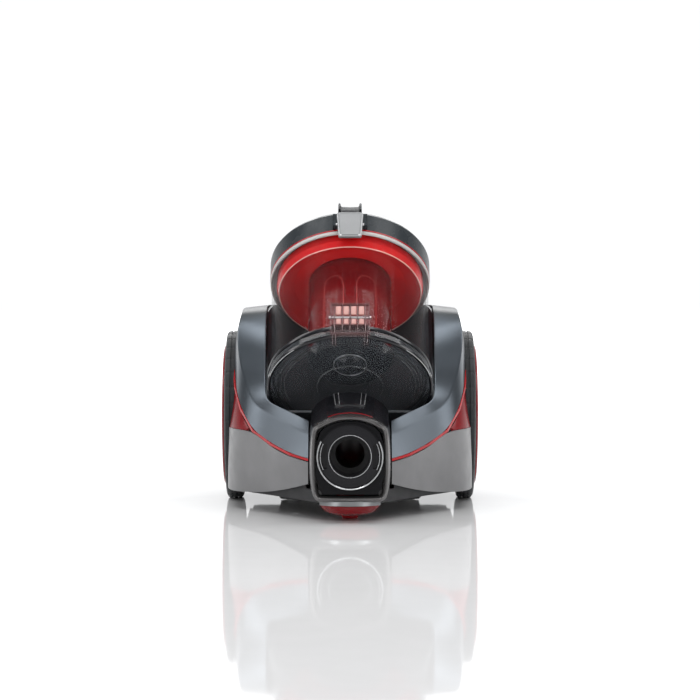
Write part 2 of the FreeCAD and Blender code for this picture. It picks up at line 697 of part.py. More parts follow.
def motor_casing():
    """Fan casing and motor can in one, lying across the machine, with the air eye at the inner end."""
    casing = on_shaft([(0, 0), (60, 0), (62, 4), (62, 34), (46, 44), (44, 92), (0, 92)], 6)
    casing = casing.cut(on_shaft([(0, 3), (57, 3), (59, 6), (59, 32), (43, 41), (41, 89), (0, 89)], 6))
    casing = casing.fuse(on_shaft([(0, 38), (44, 38), (44, 41), (0, 41)], 6))
    casing = casing.fuse(on_shaft([(0, 84), (7, 84), (7, 92), (0, 92)], 6))
    casing = casing.cut(rod(18, 5, Vector(5, MOTOR_Y, MOTOR_Z), X_AXIS))
    casing = casing.cut(rod(3 + RUN_FIT, 80, Vector(40, MOTOR_Y, MOTOR_Z), X_AXIS))
    for k in range(8):
        hole = rod(6, 10, Vector(40, MOTOR_Y, MOTOR_Z + 26), X_AXIS)
        slot = block(72, 86, MOTOR_Y - 4, MOTOR_Y + 4, MOTOR_Z + 36, MOTOR_Z + 50)
        for cutter in (hole, slot):
            cutter.rotate(Vector(0, MOTOR_Y, MOTOR_Z), X_AXIS, 45 * k)
            casing = casing.cut(cutter)
    return casing.removeSplitter()


def motor_mounts():
    """Rubber ring at the eye and rubber pad behind the can."""
    return on_shaft([(19, 0), (30, 0), (30, 6), (19, 6)], 0), on_shaft([(8, 0), (15, 0), (15, 6), (8, 6)], 98)


def rotor():
    """Motor shaft with its wound armature and commutator."""
    return on_shaft([(0, 0), (3, 0), (3, 38), (22, 38), (22, 64), (3, 64), (3, 68), (11, 68), (11, 76), (3, 76),
                     (3, 86), (0, 86)], 12)


def impeller():
    """Closed fan: two discs with curved vanes between them."""
    fan = on_shaft([(3, 0), (8, 0), (8, 14), (54, 14), (54, 15.6), (3, 15.6)], 12)
    fan = fan.fuse(on_shaft([(20, 0), (54, 0), (54, 1.6), (20, 1.6)], 12))
    for k in range(9):
        vane = pipe(40, 38.6, 13.4, Vector(0.8, 38, 0), X_AXIS)
        vane = vane.common(pipe(53, 21, 14, Vector(0, 0, 0), X_AXIS)).common(block(0, 40, -60, 60, 0, 60))
        vane.translate(Vector(12, MOTOR_Y, MOTOR_Z))
        vane.rotate(Vector(0, MOTOR_Y, MOTOR_Z), X_AXIS, 40 * k)
        fan = fan.fuse(vane)
    return main_solid(fan.removeSplitter())


def cord_reel():
    """Empty drum of the cord winder, with two flanges and a bore for its spindle."""
    width = REEL_X1 - REEL_X0
    bore = 6 + RUN_FIT
    return on_shaft([(bore, 0), (62, 0), (62, 2.5), (24, 2.5), (24, width - 2.5), (62, width - 2.5), (62, width),
                     (bore, width)], REEL_X0)


def motor_frame():
    """Bulkhead with the air opening, end plate of the motor, and the winder's plate and spindle."""
    floor = BELLY_Z + SKIN
    bulkhead = block(-4, 0, MOTOR_Y - 50, MOTOR_Y + 48, floor, MOTOR_Z + 46)
    bulkhead = bulkhead.cut(rod(18, 10, Vector(-6, MOTOR_Y, MOTOR_Z), X_AXIS))
    end_plate = block(104, 107, 95, 135, BASE_Z + SKIN, MOTOR_Z + 18)
    reel_plate = block(-48, -44, MOTOR_Y - 30, MOTOR_Y + 30, floor, MOTOR_Z + 20)
    return bulkhead, end_plate, reel_plate.fuse(rod(6, 69, Vector(-113, MOTOR_Y, MOTOR_Z), X_AXIS))


# ---------------------------------------------------------------- dust bin, modelled upright about +Z
# +Y is the side that lies in the trough, -Y the side that faces up and forward.
HINGE_Y = 83.5               # door hinge
HINGE_Z = -3.5
LATCH_Y = -94.0              # door catch pivot
LATCH_Z = 13.0
BUTTON_Y = -91.5             # release button pivot
BUTTON_Z = 147.0
PIN_R = 1.5


def tank():
    """Clear open cylinder with a foot flange, a top flange, hinge ears and catch lugs."""
    inner = TANK_R - TANK_WALL
    points = [
        (inner, 2), (DOOR_R, 2), (DOOR_R, 6), (TANK_R, 8), (TANK_R, 135), (88.5, 137), (88.5, TANK_TOP),
        (inner, TANK_TOP),
    ]
    body = spin(points)
    bores = []
    for side in (-1, 1):
        x = side * 19
        ear = rod(3.6, 9, Vector(x - 4.5, HINGE_Y, HINGE_Z), X_AXIS)
        ear = ear.fuse(block(x - 4.5, x + 4.5, HINGE_Y, HINGE_Y + 3.6, HINGE_Z, 4))
        x = side * 21.2
        lug = block(x - 1.5, x + 1.5, LATCH_Y - 3, -82, LATCH_Z - 4, LATCH_Z + 4).cut(rod(TANK_R - 1, 40, Vector(), Z_AXIS))
        body = body.fuse(ear).fuse(lug)
    body = body.cut(rod(PIN_R + 0.02, 60, Vector(-30, HINGE_Y, HINGE_Z), X_AXIS))
    return body.cut(rod(PIN_R + 0.02, 60, Vector(-30, LATCH_Y, LATCH_Z), X_AXIS))


def bin_door():
    """Clear bottom door with a stepped rim, an air port and a hinge knuckle."""
    rim_points = [(79, -8), (88, -8), (DOOR_R, -6), (DOOR_R, 0), (84.1, 0), (84.1, 1.6), (79, 1.6)]
    door = spin(rim_points).fuse(spin([(0, -6), (60, -6), (79.5, -4), (79.5, -1.5), (60, -3.5), (0, -3.5)]))
    flat = block(-60, 60, 79.5, 100, -20, 20)
    door = door.fuse(rod(18, 5, Vector(0, 62, -8.4), Z_AXIS)).cut(flat)
    door = door.fuse(block(-13.5, 13.5, 78, HINGE_Y, HINGE_Z - 3.6, HINGE_Z + 3.6))
    door = door.fuse(rod(3.6, 27, Vector(-13.5, HINGE_Y, HINGE_Z), X_AXIS))
    door = door.cut(rod(PIN_R + RUN_FIT, 40, Vector(-20, HINGE_Y, HINGE_Z), X_AXIS))
    return door.cut(rod(15.5, 20, Vector(0, 62, -12), Z_AXIS)).removeSplitter()


def door_seal():
    return main_solid(pipe(84.1, 81, 2.2, Vector(0, 0, 1.7), Z_AXIS).cut(block(-60, 60, 79.3, 100, -5, 8)))


def bin_pins():
    """Steel pins of the door hinge, the door catch and the release button."""
    hinge = rod(PIN_R, 46, Vector(-23, HINGE_Y, HINGE_Z), X_AXIS)
    catch = rod(PIN_R, 45, Vector(-22.5, LATCH_Y, LATCH_Z), X_AXIS)
    button = rod(PIN_R, 36, Vector(-18, BUTTON_Y, BUTTON_Z), X_AXIS)
    return hinge, catch, button


def door_catch():
    """Clear lever; pressing its upper end swings its nose away from the door's rim."""
    lever = block(-19, 19, -94.4, -91.4, -11, 32)
    lever = lever.fuse(rod(3, 38.8, Vector(-19.4, LATCH_Y, LATCH_Z), X_AXIS))
    for x in (-12, 0, 12):
        lever = lever.fuse(block(x - 1.2, x + 1.2, -96.4, -94.4, -9, 30))
    nose = block(-17, 17, -92, -89, -11, -7).cut(rod(DOOR_R + 0.35, 30, Vector(0, 0, -20), Z_AXIS))
    lever = lever.fuse(nose)
    return lever.cut(rod(PIN_R + RUN_FIT, 50, Vector(-25, LATCH_Y, LATCH_Z), X_AXIS)).removeSplitter()


def cyclone_dish():
    """Red bell under the lid that turns the air down into the tank."""
    inner = TUBE_R + 0.1
    return spin([(79, 126), (81.5, 133), (81.5, TANK_TOP), (inner, TANK_TOP), (inner, 139), (62, 136.5), (74, 131),
                 (77.6, 126)])


def cyclone_tube():
    return pipe(TUBE_R, TUBE_R - 2.5, TANK_TOP - 34, Vector(0, 0, 34), Z_AXIS)


def tube_foot():
    """Tapered floor of the cyclone tube with a round eye in its middle."""
    return spin([(0, 20), (12, 20), (18, 24), (18, TUBE_FOOT), (40, TUBE_FOOT), (TUBE_R, 34), (TUBE_R - 3, 34),
                 (39, 31), (15, 31), (10, 24), (0, 24)])


def vortex_cage():
    """Slotted outlet cage on the axis, ribs between three rings."""
    cage = pipe(21, 18.5, 5, Vector(0, 0, 31), Z_AXIS)
    for w, height in ((60, 3), (88, 5)):
        cage = cage.fuse(pipe(21, 18.5, height, Vector(0, 0, w), Z_AXIS))
    for k in range(12):
        rib = block(18.7, 20.8, -1.2, 1.2, 33, 90)
        rib.rotate(Vector(0, 0, 0), Z_AXIS, 30 * k)
        cage = cage.fuse(rib)
    return cage.removeSplitter()


def cone_pack():
    """Eight small cyclone cones hanging from one plate, with a collar that meets the cage."""
    pack = rod(TUBE_R - 2.6, 2.5, Vector(0, 0, TANK_TOP - 2.5), Z_AXIS)
    pack = pack.fuse(pipe(20.5, 18.5, TANK_TOP - 94, Vector(0, 0, 93), Z_AXIS))
    bores = []
    for k in range(8):
        cone = Part.makeCone(5, 9.2, 42, Vector(31, 0, 98), Z_AXIS)
        bore = Part.makeCone(3.4, 8.0, 46, Vector(31, 0, 97), Z_AXIS)
        for shape in (cone, bore):
            shape.rotate(Vector(0, 0, 0), Z_AXIS, 45 * k)
        pack = pack.fuse(cone)
        bores.append(bore)
    pack = pack.cut(Part.makeCompound(bores))
    return main_solid(pack.cut(rod(18.5, 10, Vector(0, 0, TANK_TOP - 5), Z_AXIS)))


def lid():
    """Black lid: a deep rim and a top plate, a recess for the release button and an air window behind."""
    outer = spin([(LID_R, 143), (LID_R, 165), (86.5, LID_TOP), (0, LID_TOP), (0, 143)])
    room = spin([(84, 142), (84, 164), (80, 166), (0, 166), (0, 142)])
    room = room.cut(block(-21, 21, -100, -82, 140, 180))
    shape = outer.cut(room).cut(block(-19, 19, -100, -84.6, 140, 180))
    for side in (-1, 1):
        shape = shape.fuse(block(side * 17 - 1.5, side * 17 + 1.5, BUTTON_Y - 3, -84, BUTTON_Z - 3.5, BUTTON_Z + 3.5))
    shape = shape.cut(rod(PIN_R + 0.02, 60, Vector(-30, BUTTON_Y, BUTTON_Z), X_AXIS).common(
        block(-18.5, 18.5, -100, -80, 140, 160)))
    return shape.cut(block(-AIR_X + 2, AIR_X - 2, 70, 100, AIR_W0 + 2, AIR_W1 - 2)).removeSplitter()


def lid_ring():
    """Grey gasket ring between the tank and the lid."""
    return pipe(88.2, 82, 0.8, Vector(0, 0, TANK_TOP + 0.1), Z_AXIS)


def lid_filter():
    """Round foam filter with a grip hole."""
    return rod(79.5, 18, Vector(0, 0, 145), Z_AXIS).cut(rod(8, 30, Vector(0, 0, 140), Z_AXIS))


def release_button():
    """Silver press plate on the front of the lid; it rocks about its pin."""
    outline = [(-12.6, 131), (12.6, 131), (14.6, 136), (14.6, 161), (12.6, 164), (-12.6, 164), (-14.6, 161),
               (-14.6, 136)]
    points = [Vector(x, -96.8, z) for x, z in outline]
    plate = Part.Face(Part.makePolygon(points + points[:1])).extrude(Vector(0, 4, 0))
    plate = plate.fuse(rod(3, 29.6, Vector(-14.8, BUTTON_Y, BUTTON_Z), X_AXIS))
    return plate.cut(rod(PIN_R + RUN_FIT, 50, Vector(-25, BUTTON_Y, BUTTON_Z), X_AXIS)).removeSplitter()


def bin_springs():
    """Return springs of the release button and of the door catch, at their pressed length."""
    button = coil(2.8, 0.5, 3, 5.6, Vector(0, 0, 0))
    button.rotate(Vector(0, 0, 0), X_AXIS, 90)
    button.translate(Vector(0, -84.8, 158))
    catch = coil(2.6, 0.3, 1, 1.3, Vector(0, 0, 0))
    catch.rotate(Vector(0, 0, 0), X_AXIS, 90)
    catch.translate(Vector(0, -TANK_R - 0.05, 26))
    return button, catch


HANDLE_TOP = [(-26.8, 328.5), (-12, 332.4), (20, 335), (55, 333), (85, 317), (103, 288), (109, 252), (107, 225),
              (101, 200)]
HANDLE_LOW = [(-20, 312), (-4, 316.2), (20, 317.8), (48, 315.5), (71, 303), (86, 281), (91.5, 254), (91, 236),
              (84, 214)]


def carry_handle():
    """Carry handle: a level grip from the lid's front edge, bent down to its back edge."""
    upper = [Vector(-13, y, z) for y, z in HANDLE_TOP]
    lower = [Vector(-13, y, z) for y, z in HANDLE_LOW]
    bar = slab(upper, lower, 26)
    envelope = in_bin(rod(200, 300, Vector(0, 0, LID_TOP - 300), Z_AXIS))
    return main_solid(bar.cut(envelope))


# ---------------------------------------------------------------- build
def both(shape):
    return shape, mirrored(shape)


def build_body():
    shell = shoulder_shell()
    save("shoulder_shell_right", shell)
    save("shoulder_shell_left", mirrored(shell))
    save("side_skirts", *both(side_skirt()))
    save("accent_panels", *both(accent_panel()))
    save("bead_strips", *both(bead_strip()))
    save("wheel_arches", *both(wheel_arch()))
    save("axles", *both(axle()))
    save("rear_cover", rear_cover())
    save("exhaust_grille", exhaust_grille())
    save("exhaust_filter", exhaust_filter())
    save("cord_gland", cord_gland())
    save("power_pedal", pedal(PEDAL_X))
    save("rewind_pedal", pedal(-PEDAL_X))
    save("pedal_springs", *pedal_springs())
    save("pedal_guide", pedal_guide())
    save("base_pan", base_pan())
    save("base_screws", *base_screws())
    save("cradle", cradle())
    save("air_seals", air_seal(), duct_seal())


def build_front():
    save("inlet_frame", inlet_frame())
    save("port_face", port_face())
    save("port_ring", port_ring())
    save("port_socket", port_socket())
    save("inlet_neck", inlet_neck())
    save("neck_pad", neck_pad())
    save("intake_duct", intake_duct())
    save("front_chin", front_chin())
    save("caster_dome", caster_dome())
    save("caster_axle", caster_axle())
    save("caster_wheel", caster_wheel())


def build_wheels():
    for name, shape in (("tyre", tyre()), ("rim", rim()), ("hub_ring", hub_ring()), ("hub_cap", hub_cap())):
        save(name + "_right", shape)
        save(name + "_left", mirrored(shape))


def build_machinery():
    save("motor_casing", motor_casing())
    save("motor_mounts", *motor_mounts())
    save("rotor", rotor())
    save("impeller", impeller())
    save("cord_reel", cord_reel())
    save("motor_frame", *motor_frame())


def build_bin():
    save("tank", in_bin(tank()))
    save("bin_door", in_bin(bin_door()))
    save("door_seal", in_bin(door_seal()))
    save("bin_pins", *[in_bin(pin) for pin in bin_pins()])
    save("door_catch", in_bin(door_catch()))
    save("bin_springs", *[in_bin(spring) for spring in bin_springs()])
    save("cyclone_dish", in_bin(cyclone_dish()))
    save("cyclone_tube", in_bin(cyclone_tube()))
    save("tube_foot", in_bin(tube_foot()))
    save("vortex_cage", in_bin(vortex_cage()))
    save("cone_pack", in_bin(cone_pack()))
    save("lid", in_bin(lid()))
    save("lid_ring", in_bin(lid_ring()))
    save("lid_filter", in_bin(lid_filter()))
    save("release_button", in_bin(release_button()))
    save("carry_handle", carry_handle())


build_body()
build_front()
build_wheels()
build_machinery()
build_bin()
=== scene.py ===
# %% [markdown]
# # A bagless cylinder vacuum, dressed in Blender
# The measured model of the machine is loaded first and stays fixed. Each later cell either gives one of
# its solids a finish, or builds a finer mesh that stands in its place. Lengths are in metres. The hose
# side faces -Y, Z is up, and X runs across the machine.

import json
import math

import bmesh
import bpy
from mathutils import Matrix, Vector

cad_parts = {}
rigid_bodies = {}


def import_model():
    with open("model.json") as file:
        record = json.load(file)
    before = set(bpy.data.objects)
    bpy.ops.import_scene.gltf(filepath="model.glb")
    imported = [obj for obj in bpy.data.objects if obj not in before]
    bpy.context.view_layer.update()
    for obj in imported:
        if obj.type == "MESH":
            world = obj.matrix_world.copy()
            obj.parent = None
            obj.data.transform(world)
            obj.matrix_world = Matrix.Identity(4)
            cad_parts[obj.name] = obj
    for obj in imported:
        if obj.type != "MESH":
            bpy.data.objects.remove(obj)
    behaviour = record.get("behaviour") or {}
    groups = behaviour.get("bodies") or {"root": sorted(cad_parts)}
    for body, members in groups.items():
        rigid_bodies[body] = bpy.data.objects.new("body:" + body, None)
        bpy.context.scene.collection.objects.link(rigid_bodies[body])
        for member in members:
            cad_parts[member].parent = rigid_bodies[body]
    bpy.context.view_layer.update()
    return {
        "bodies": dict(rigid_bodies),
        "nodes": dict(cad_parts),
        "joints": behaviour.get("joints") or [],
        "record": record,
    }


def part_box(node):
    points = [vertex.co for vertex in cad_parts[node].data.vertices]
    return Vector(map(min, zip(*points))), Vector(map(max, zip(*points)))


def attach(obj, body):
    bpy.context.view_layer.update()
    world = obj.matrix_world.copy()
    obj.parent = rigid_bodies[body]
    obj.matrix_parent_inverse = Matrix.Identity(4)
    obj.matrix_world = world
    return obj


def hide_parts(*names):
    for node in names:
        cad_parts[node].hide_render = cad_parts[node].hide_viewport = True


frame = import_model()
nodes = frame["nodes"]

# %% [markdown]
# ## The studio
# A long lens, used from low down, keeps the machine from tapering. The camera stands three metres in front,
# about level with the handle, and looks slightly down. A small shift frames the machine without tilting the
# camera further, so its upright lines stay nearly upright.

# %% Camera
CAMERA_DISTANCE = 3.0
CAMERA_RISE = math.radians(3.3)
LOOK_AT = Vector((0, 0, 0.15))

camera = bpy.data.objects.new("studio_camera", bpy.data.cameras.new("studio_camera"))
bpy.context.scene.collection.objects.link(camera)
camera.data.lens = 138.9
camera.data.sensor_width = 36.0
camera.data.shift_y = 0.0286
camera.location = LOOK_AT + Vector((0, -math.cos(CAMERA_RISE), math.sin(CAMERA_RISE))) * CAMERA_DISTANCE
camera.rotation_mode = "QUATERNION"
camera.rotation_quaternion = (LOOK_AT - camera.location).to_track_quat("-Z", "Y")
bpy.context.scene.camera = camera
print("camera at", [round(v, 3) for v in camera.location])

# %% [markdown]
# Shiny mouldings are drawn by what they reflect. A wide, weak soft box hangs overhead. Two narrow, stronger
# ones run along its sides and draw the upright highlights on the bin, and two tall ones stand at the
# front corners. Two small ones above the front pick out the silver band of the shoulders, and a fill before
# the machine and one behind it soften the rest.


# %% Lights
def soft_box(name, place, look, width, height, power):
    lamp = bpy.data.objects.new(name, bpy.data.lights.new(name, "AREA"))
    bpy.context.scene.collection.objects.link(lamp)
    lamp.data.shape = "RECTANGLE"
    lamp.data.size = width
    lamp.data.size_y = height
    lamp.data.energy = power
    lamp.location = place
    lamp.rotation_mode = "QUATERNION"
    lamp.rotation_quaternion = (Vector(look) - Vector(place)).to_track_quat("-Z", "Y")
    return lamp


soft_box("overhead_box", (0, 0.0, 2.0), (0, 0, 0.1), 2.0, 2.4, 21)
for side in (-1, 1):
    soft_box("strip_box", (side * 1.75, 0.15, 1.8), (0, 0, 0.15), 0.7, 2.0, 20)
    soft_box("shoulder_box", (side * 0.73, -0.58, 1.9), (side * 0.1, 0, 0.2), 0.35, 0.5, 3.8)
    soft_box("corner_box", (side * 1.15, -1.5, 0.6), (0, 0, 0.12), 0.35, 1.1, 8)
soft_box("front_fill", (0, -2.3, 1.7), (0, 0, 0.2), 1.6, 0.5, 12)
soft_box("back_box", (0, 1.9, 1.2), (0, 0, 0.2), 1.6, 0.8, 12)

# %% [markdown]
# The room is white behind the machine and dim in front of it, so the faces on the hose side stay dark and
# their edges catch the white. One world shader does this: it takes how far a direction points along +Y and
# turns that into brightness, with a smooth step between the dim side and the white one.

# %% The room
DIM_SIDE, WHITE_SIDE = 0.26, 1.02
DIM_UP_TO, WHITE_FROM = 0.25, 0.85


def ramp(tree_nodes, links, source, reach, result):
    """Turns a number within reach into one within result, in step with it."""
    node = tree_nodes.new("ShaderNodeMapRange")
    for socket, value in zip(("From Min", "From Max", "To Min", "To Max"), (*reach, *result)):
        node.inputs[socket].default_value = value
    links.new(source, node.inputs["Value"])
    return node


world = bpy.data.worlds.new("studio_room")
bpy.context.scene.world = world
world.use_nodes = True
room_nodes, room_links = world.node_tree.nodes, world.node_tree.links
direction = room_nodes.new("ShaderNodeTexCoord")
split = room_nodes.new("ShaderNodeSeparateXYZ")
room_links.new(direction.outputs["Generated"], split.inputs["Vector"])
brightness = ramp(room_nodes, room_links, split.outputs["Y"], (DIM_UP_TO, WHITE_FROM),
                  (DIM_SIDE, WHITE_SIDE))
brightness.interpolation_type = "SMOOTHSTEP"
room_links.new(brightness.outputs["Result"], room_nodes["Background"].inputs["Strength"])
room_nodes["Background"].inputs["Color"].default_value = (0.985, 0.99, 1.0, 1)
bpy.context.scene.view_settings.view_transform = "Standard"
print("room from", DIM_SIDE, "to", WHITE_SIDE)


# %% [markdown]
# ## Finishes
# Every finish here starts from the same idea: one Principled shader whose base colour, roughness and
# surface are disturbed a little by noise, because no moulding is perfectly even. A few small helpers make
# the noise, scale it, and turn it into a colour between two others.


# %% Helpers for noise in a finish
def new_material(name):
    material = bpy.data.materials.new(name)
    material.use_nodes = True
    tree = material.node_tree
    return material, tree.nodes, tree.links, tree.nodes["Principled BSDF"]


def grain(tree_nodes, links, scale, detail=4.0):
    """Noise in the piece's own coordinates, which are metres, so scale is repeats in a metre."""
    place = tree_nodes.new("ShaderNodeTexCoord")
    texture = tree_nodes.new("ShaderNodeTexNoise")
    texture.inputs["Scale"].default_value = scale
    texture.inputs["Detail"].default_value = detail
    links.new(place.outputs["Object"], texture.inputs["Vector"])
    return texture.outputs["Fac"]


def spread(tree_nodes, links, source, low, high):
    """Turns noise, mostly between 0.3 and 0.7, into numbers from low to high."""
    return ramp(tree_nodes, links, source, (0.3, 0.7), (low, high)).outputs["Result"]


def tint(tree_nodes, links, source, dark, light):
    mix = tree_nodes.new("ShaderNodeMix")
    mix.data_type = "RGBA"
    mix.inputs["A"].default_value = (*dark, 1)
    mix.inputs["B"].default_value = (*light, 1)
    links.new(source, mix.inputs["Factor"])
    return mix.outputs["Result"]


print("noise helpers ready")

# %% [markdown]
# A moulding uses the noise three times: as broad patches of colour, as smears in its gloss and as a fine
# texture on its skin. Each finish below then only says how coarse and how strong these are. A height of a
# few thousandths of a millimetre reads as polished, and a few hundredths as spark-eroded.


# %% A helper that wires a moulded finish
PATCHES, SMEARS = 30, 2.3


def moulded(name, colour, roughness, variety=0.08, rough_spread=0.06, metallic=0.0, coat=0.0,
            grain_scale=1500, grain_height=0.00002, specular=0.5):
    """A plastic moulding: even colour with faint patches, and a fine texture on its skin."""
    material, tree_nodes, links, shader = new_material(name)
    patches = grain(tree_nodes, links, PATCHES)
    dark = [c * (1 - variety) for c in colour]
    light = [min(1.0, c * (1 + variety)) for c in colour]
    links.new(tint(tree_nodes, links, spread(tree_nodes, links, patches, 0, 1), dark, light),
              shader.inputs["Base Color"])
    smears = grain(tree_nodes, links, PATCHES * SMEARS)
    links.new(
        spread(tree_nodes, links, smears, max(0.02, roughness - rough_spread), roughness + rough_spread),
        shader.inputs["Roughness"],
    )
    bump = tree_nodes.new("ShaderNodeBump")
    bump.inputs["Distance"].default_value = grain_height
    bump.inputs["Strength"].default_value = 1.0
    links.new(grain(tree_nodes, links, grain_scale, 2.0), bump.inputs["Height"])
    links.new(bump.outputs["Normal"], shader.inputs["Normal"])
    shader.inputs["Metallic"].default_value = metallic
    shader.inputs["Coat Weight"].default_value = coat
    shader.inputs["Coat Roughness"].default_value = 0.05
    shader.inputs["Specular IOR Level"].default_value = specular
    return material


print("moulded finish ready")

# %% [markdown]
# The opaque paints and plastics follow. The machine is mostly slate and black, so its blacks differ in
# gloss more than in colour, and the reds and silvers stand out from them.

# %% Opaque finishes
graphite_paint = moulded("graphite_paint", (0.088, 0.101, 0.116), 0.31, rough_spread=0.015, variety=0.03,
                         metallic=0.85, specular=0.12, grain_scale=6000, grain_height=0.000004)
gloss_red = moulded("gloss_red", (0.36, 0.006, 0.010), 0.20, specular=0.35, grain_height=0.000002)
bell_red = moulded("bell_red", (0.60, 0.008, 0.009), 0.20, coat=0.06, specular=0.22, grain_height=0.000002)
cage_silver = moulded("cage_silver", (0.85, 0.74, 0.72), 0.30, metallic=0.1, grain_scale=4000,
                      grain_height=0.000004)
wedge_red = moulded("wedge_red", (0.17, 0.003, 0.006), 0.22, specular=0.25, grain_height=0.000002)
deep_red = moulded("deep_red", (0.20, 0.004, 0.007), 0.22, specular=0.3, grain_height=0.000002)
skirt_satin = moulded("skirt_satin", (0.160, 0.160, 0.164), 0.42, grain_scale=4000, grain_height=0.000012)
cradle_slate = moulded("cradle_slate", (0.050, 0.057, 0.065), 0.40, grain_scale=3500, grain_height=0.000010)
lid_slate = moulded("lid_slate", (0.014, 0.019, 0.023), 0.28, specular=0.18, grain_scale=5000,
                    grain_height=0.000003)
black_satin = moulded("black_satin", (0.012, 0.014, 0.017), 0.36, specular=0.35, grain_scale=3500,
                      grain_height=0.000010)
black_matt = moulded("black_matt", (0.022, 0.022, 0.024), 0.55, grain_scale=2500, grain_height=0.00002)
eye_black = moulded("eye_black", (0.006, 0.006, 0.008), 0.06, rough_spread=0.02, coat=1.0,
                    grain_height=0.000001)
piano_black = moulded("piano_black", (0.004, 0.004, 0.005), 0.10, rough_spread=0.02, specular=0.18,
                      grain_height=0.000001)
gunmetal = moulded("gunmetal", (0.10, 0.10, 0.105), 0.26, metallic=0.8, coat=0.4, grain_scale=6000,
                   grain_height=0.000004)
gunmetal_dark = moulded("gunmetal_dark", (0.095, 0.092, 0.092), 0.24, rough_spread=0.02, metallic=0.8,
                        coat=0.12, grain_scale=6000, grain_height=0.000003)
black_gloss_satin = moulded("black_gloss_satin", (0.008, 0.008, 0.010), 0.18, specular=0.35,
                            grain_scale=5000, grain_height=0.000002)
silver_paint = moulded("silver_paint", (0.25, 0.255, 0.26), 0.34, metallic=0.7, grain_scale=6000,
                       grain_height=0.000005)
rim_grey = moulded("rim_grey", (0.10, 0.10, 0.105), 0.38, metallic=0.3, grain_scale=3500,
                   grain_height=0.000010)
tyre_black = moulded("tyre_black", (0.014, 0.016, 0.018), 0.50, variety=0.2, specular=0.3, grain_scale=1800,
                     grain_height=0.00004)
grip_black = moulded("grip_black", (0.010, 0.011, 0.013), 0.5, specular=0.06, grain_scale=2600,
                     grain_height=0.00002)
soft_black = moulded("soft_black", (0.016, 0.016, 0.017), 0.68, variety=0.2, grain_scale=2200,
                     grain_height=0.00003)
pale_seal = moulded("pale_seal", (0.40, 0.38, 0.37), 0.4, grain_scale=2200, grain_height=0.00001)
# Pink-white for a painted highlight along the red dish's rim.
painted_rim_highlight = moulded("painted_rim_highlight", (0.95, 0.50, 0.45), 0.25, coat=0.5, grain_height=0.000002)
gasket_grey = moulded("gasket_grey", (0.30, 0.30, 0.31), 0.5, grain_scale=2200, grain_height=0.00002)
# Bright silver for the port's trim lines, and for painted highlights on the pad's edges, round the eye and
# on the door's rim.
trim_and_highlight_silver = moulded("trim_and_highlight_silver", (0.52, 0.53, 0.54), 0.26, metallic=0.6, grain_height=0.000002)
bright_steel = moulded("bright_steel", (0.55, 0.55, 0.56), 0.24, metallic=1.0, grain_scale=900,
                       grain_height=0.00001)
fan_alloy = moulded("fan_alloy", (0.62, 0.62, 0.63), 0.32, metallic=1.0, grain_scale=900,
                    grain_height=0.00001)
filter_foam = moulded("filter_foam", (0.05, 0.055, 0.07), 0.9, variety=0.5, grain_scale=900,
                      grain_height=0.0004)
cyclone_maroon = moulded("cyclone_maroon", (0.16, 0.012, 0.016), 0.35, grain_scale=2500,
                         grain_height=0.00001)
print("opaque finishes", len(bpy.data.materials))

# %% [markdown]
# The silver paint of the shoulders is taken to end at their top, with the same moulding left a dark satin
# over it and down the back. The piece's own coordinates tell the shader where that change lies, so one
# material does both, with a soft step between.

# %% The paint stops at the top of the shoulders
PAINT_ENDS, SATIN_STARTS = -0.012, 0.004
paint_nodes, paint_links = graphite_paint.node_tree.nodes, graphite_paint.node_tree.links
paint_shader = paint_nodes["Principled BSDF"]
paint_place = paint_nodes.new("ShaderNodeTexCoord")
paint_split = paint_nodes.new("ShaderNodeSeparateXYZ")
paint_links.new(paint_place.outputs["Object"], paint_split.inputs["Vector"])


def along_shoulder(at_front, at_back):
    place = paint_split.outputs["Y"]
    step = ramp(paint_nodes, paint_links, place, (PAINT_ENDS, SATIN_STARTS), (at_front, at_back))
    return step.outputs["Result"]


painted = paint_shader.inputs["Base Color"].links[0].from_socket
paint_mix = paint_nodes.new("ShaderNodeMix")
paint_mix.data_type = "RGBA"
paint_links.new(along_shoulder(0, 1), paint_mix.inputs["Factor"])
paint_links.new(painted, paint_mix.inputs["A"])
paint_mix.inputs["B"].default_value = (0.030, 0.036, 0.040, 1)
paint_links.new(paint_mix.outputs["Result"], paint_shader.inputs["Base Color"])
paint_links.new(along_shoulder(0.85, 0.0), paint_shader.inputs["Metallic"])
print("painted to y", PAINT_ENDS, "satin from y", SATIN_STARTS)

# %% [markdown]
# The red dish is given a little painted glow: an emission that stands in for the light a thin red moulding
# passes on from behind it.

# %% A painted glow in the dish
PAINTED_DISH_GLOW = 0.06
# Painted glow: the dish is no lamp, its emission stands for light passed through it.
bell_shader = bell_red.node_tree.nodes["Principled BSDF"]
bell_shader.inputs["Emission Color"].default_value = (0.75, 0.012, 0.010, 1)
bell_shader.inputs["Emission Strength"].default_value = PAINTED_DISH_GLOW
print("glow", PAINTED_DISH_GLOW)

# %% [markdown]
# Clear plastic is the finish that sells this machine. Real polycarbonate lets nearly all light straight
# through and only shows itself where we look along it. Bending the light properly takes many samples to
# come out clean, so the wall is made partly see-through instead, and more solid at its edges. Its colour
# there is painted light: painted shade where the edge colour is darker, and painted sheen where lighter.


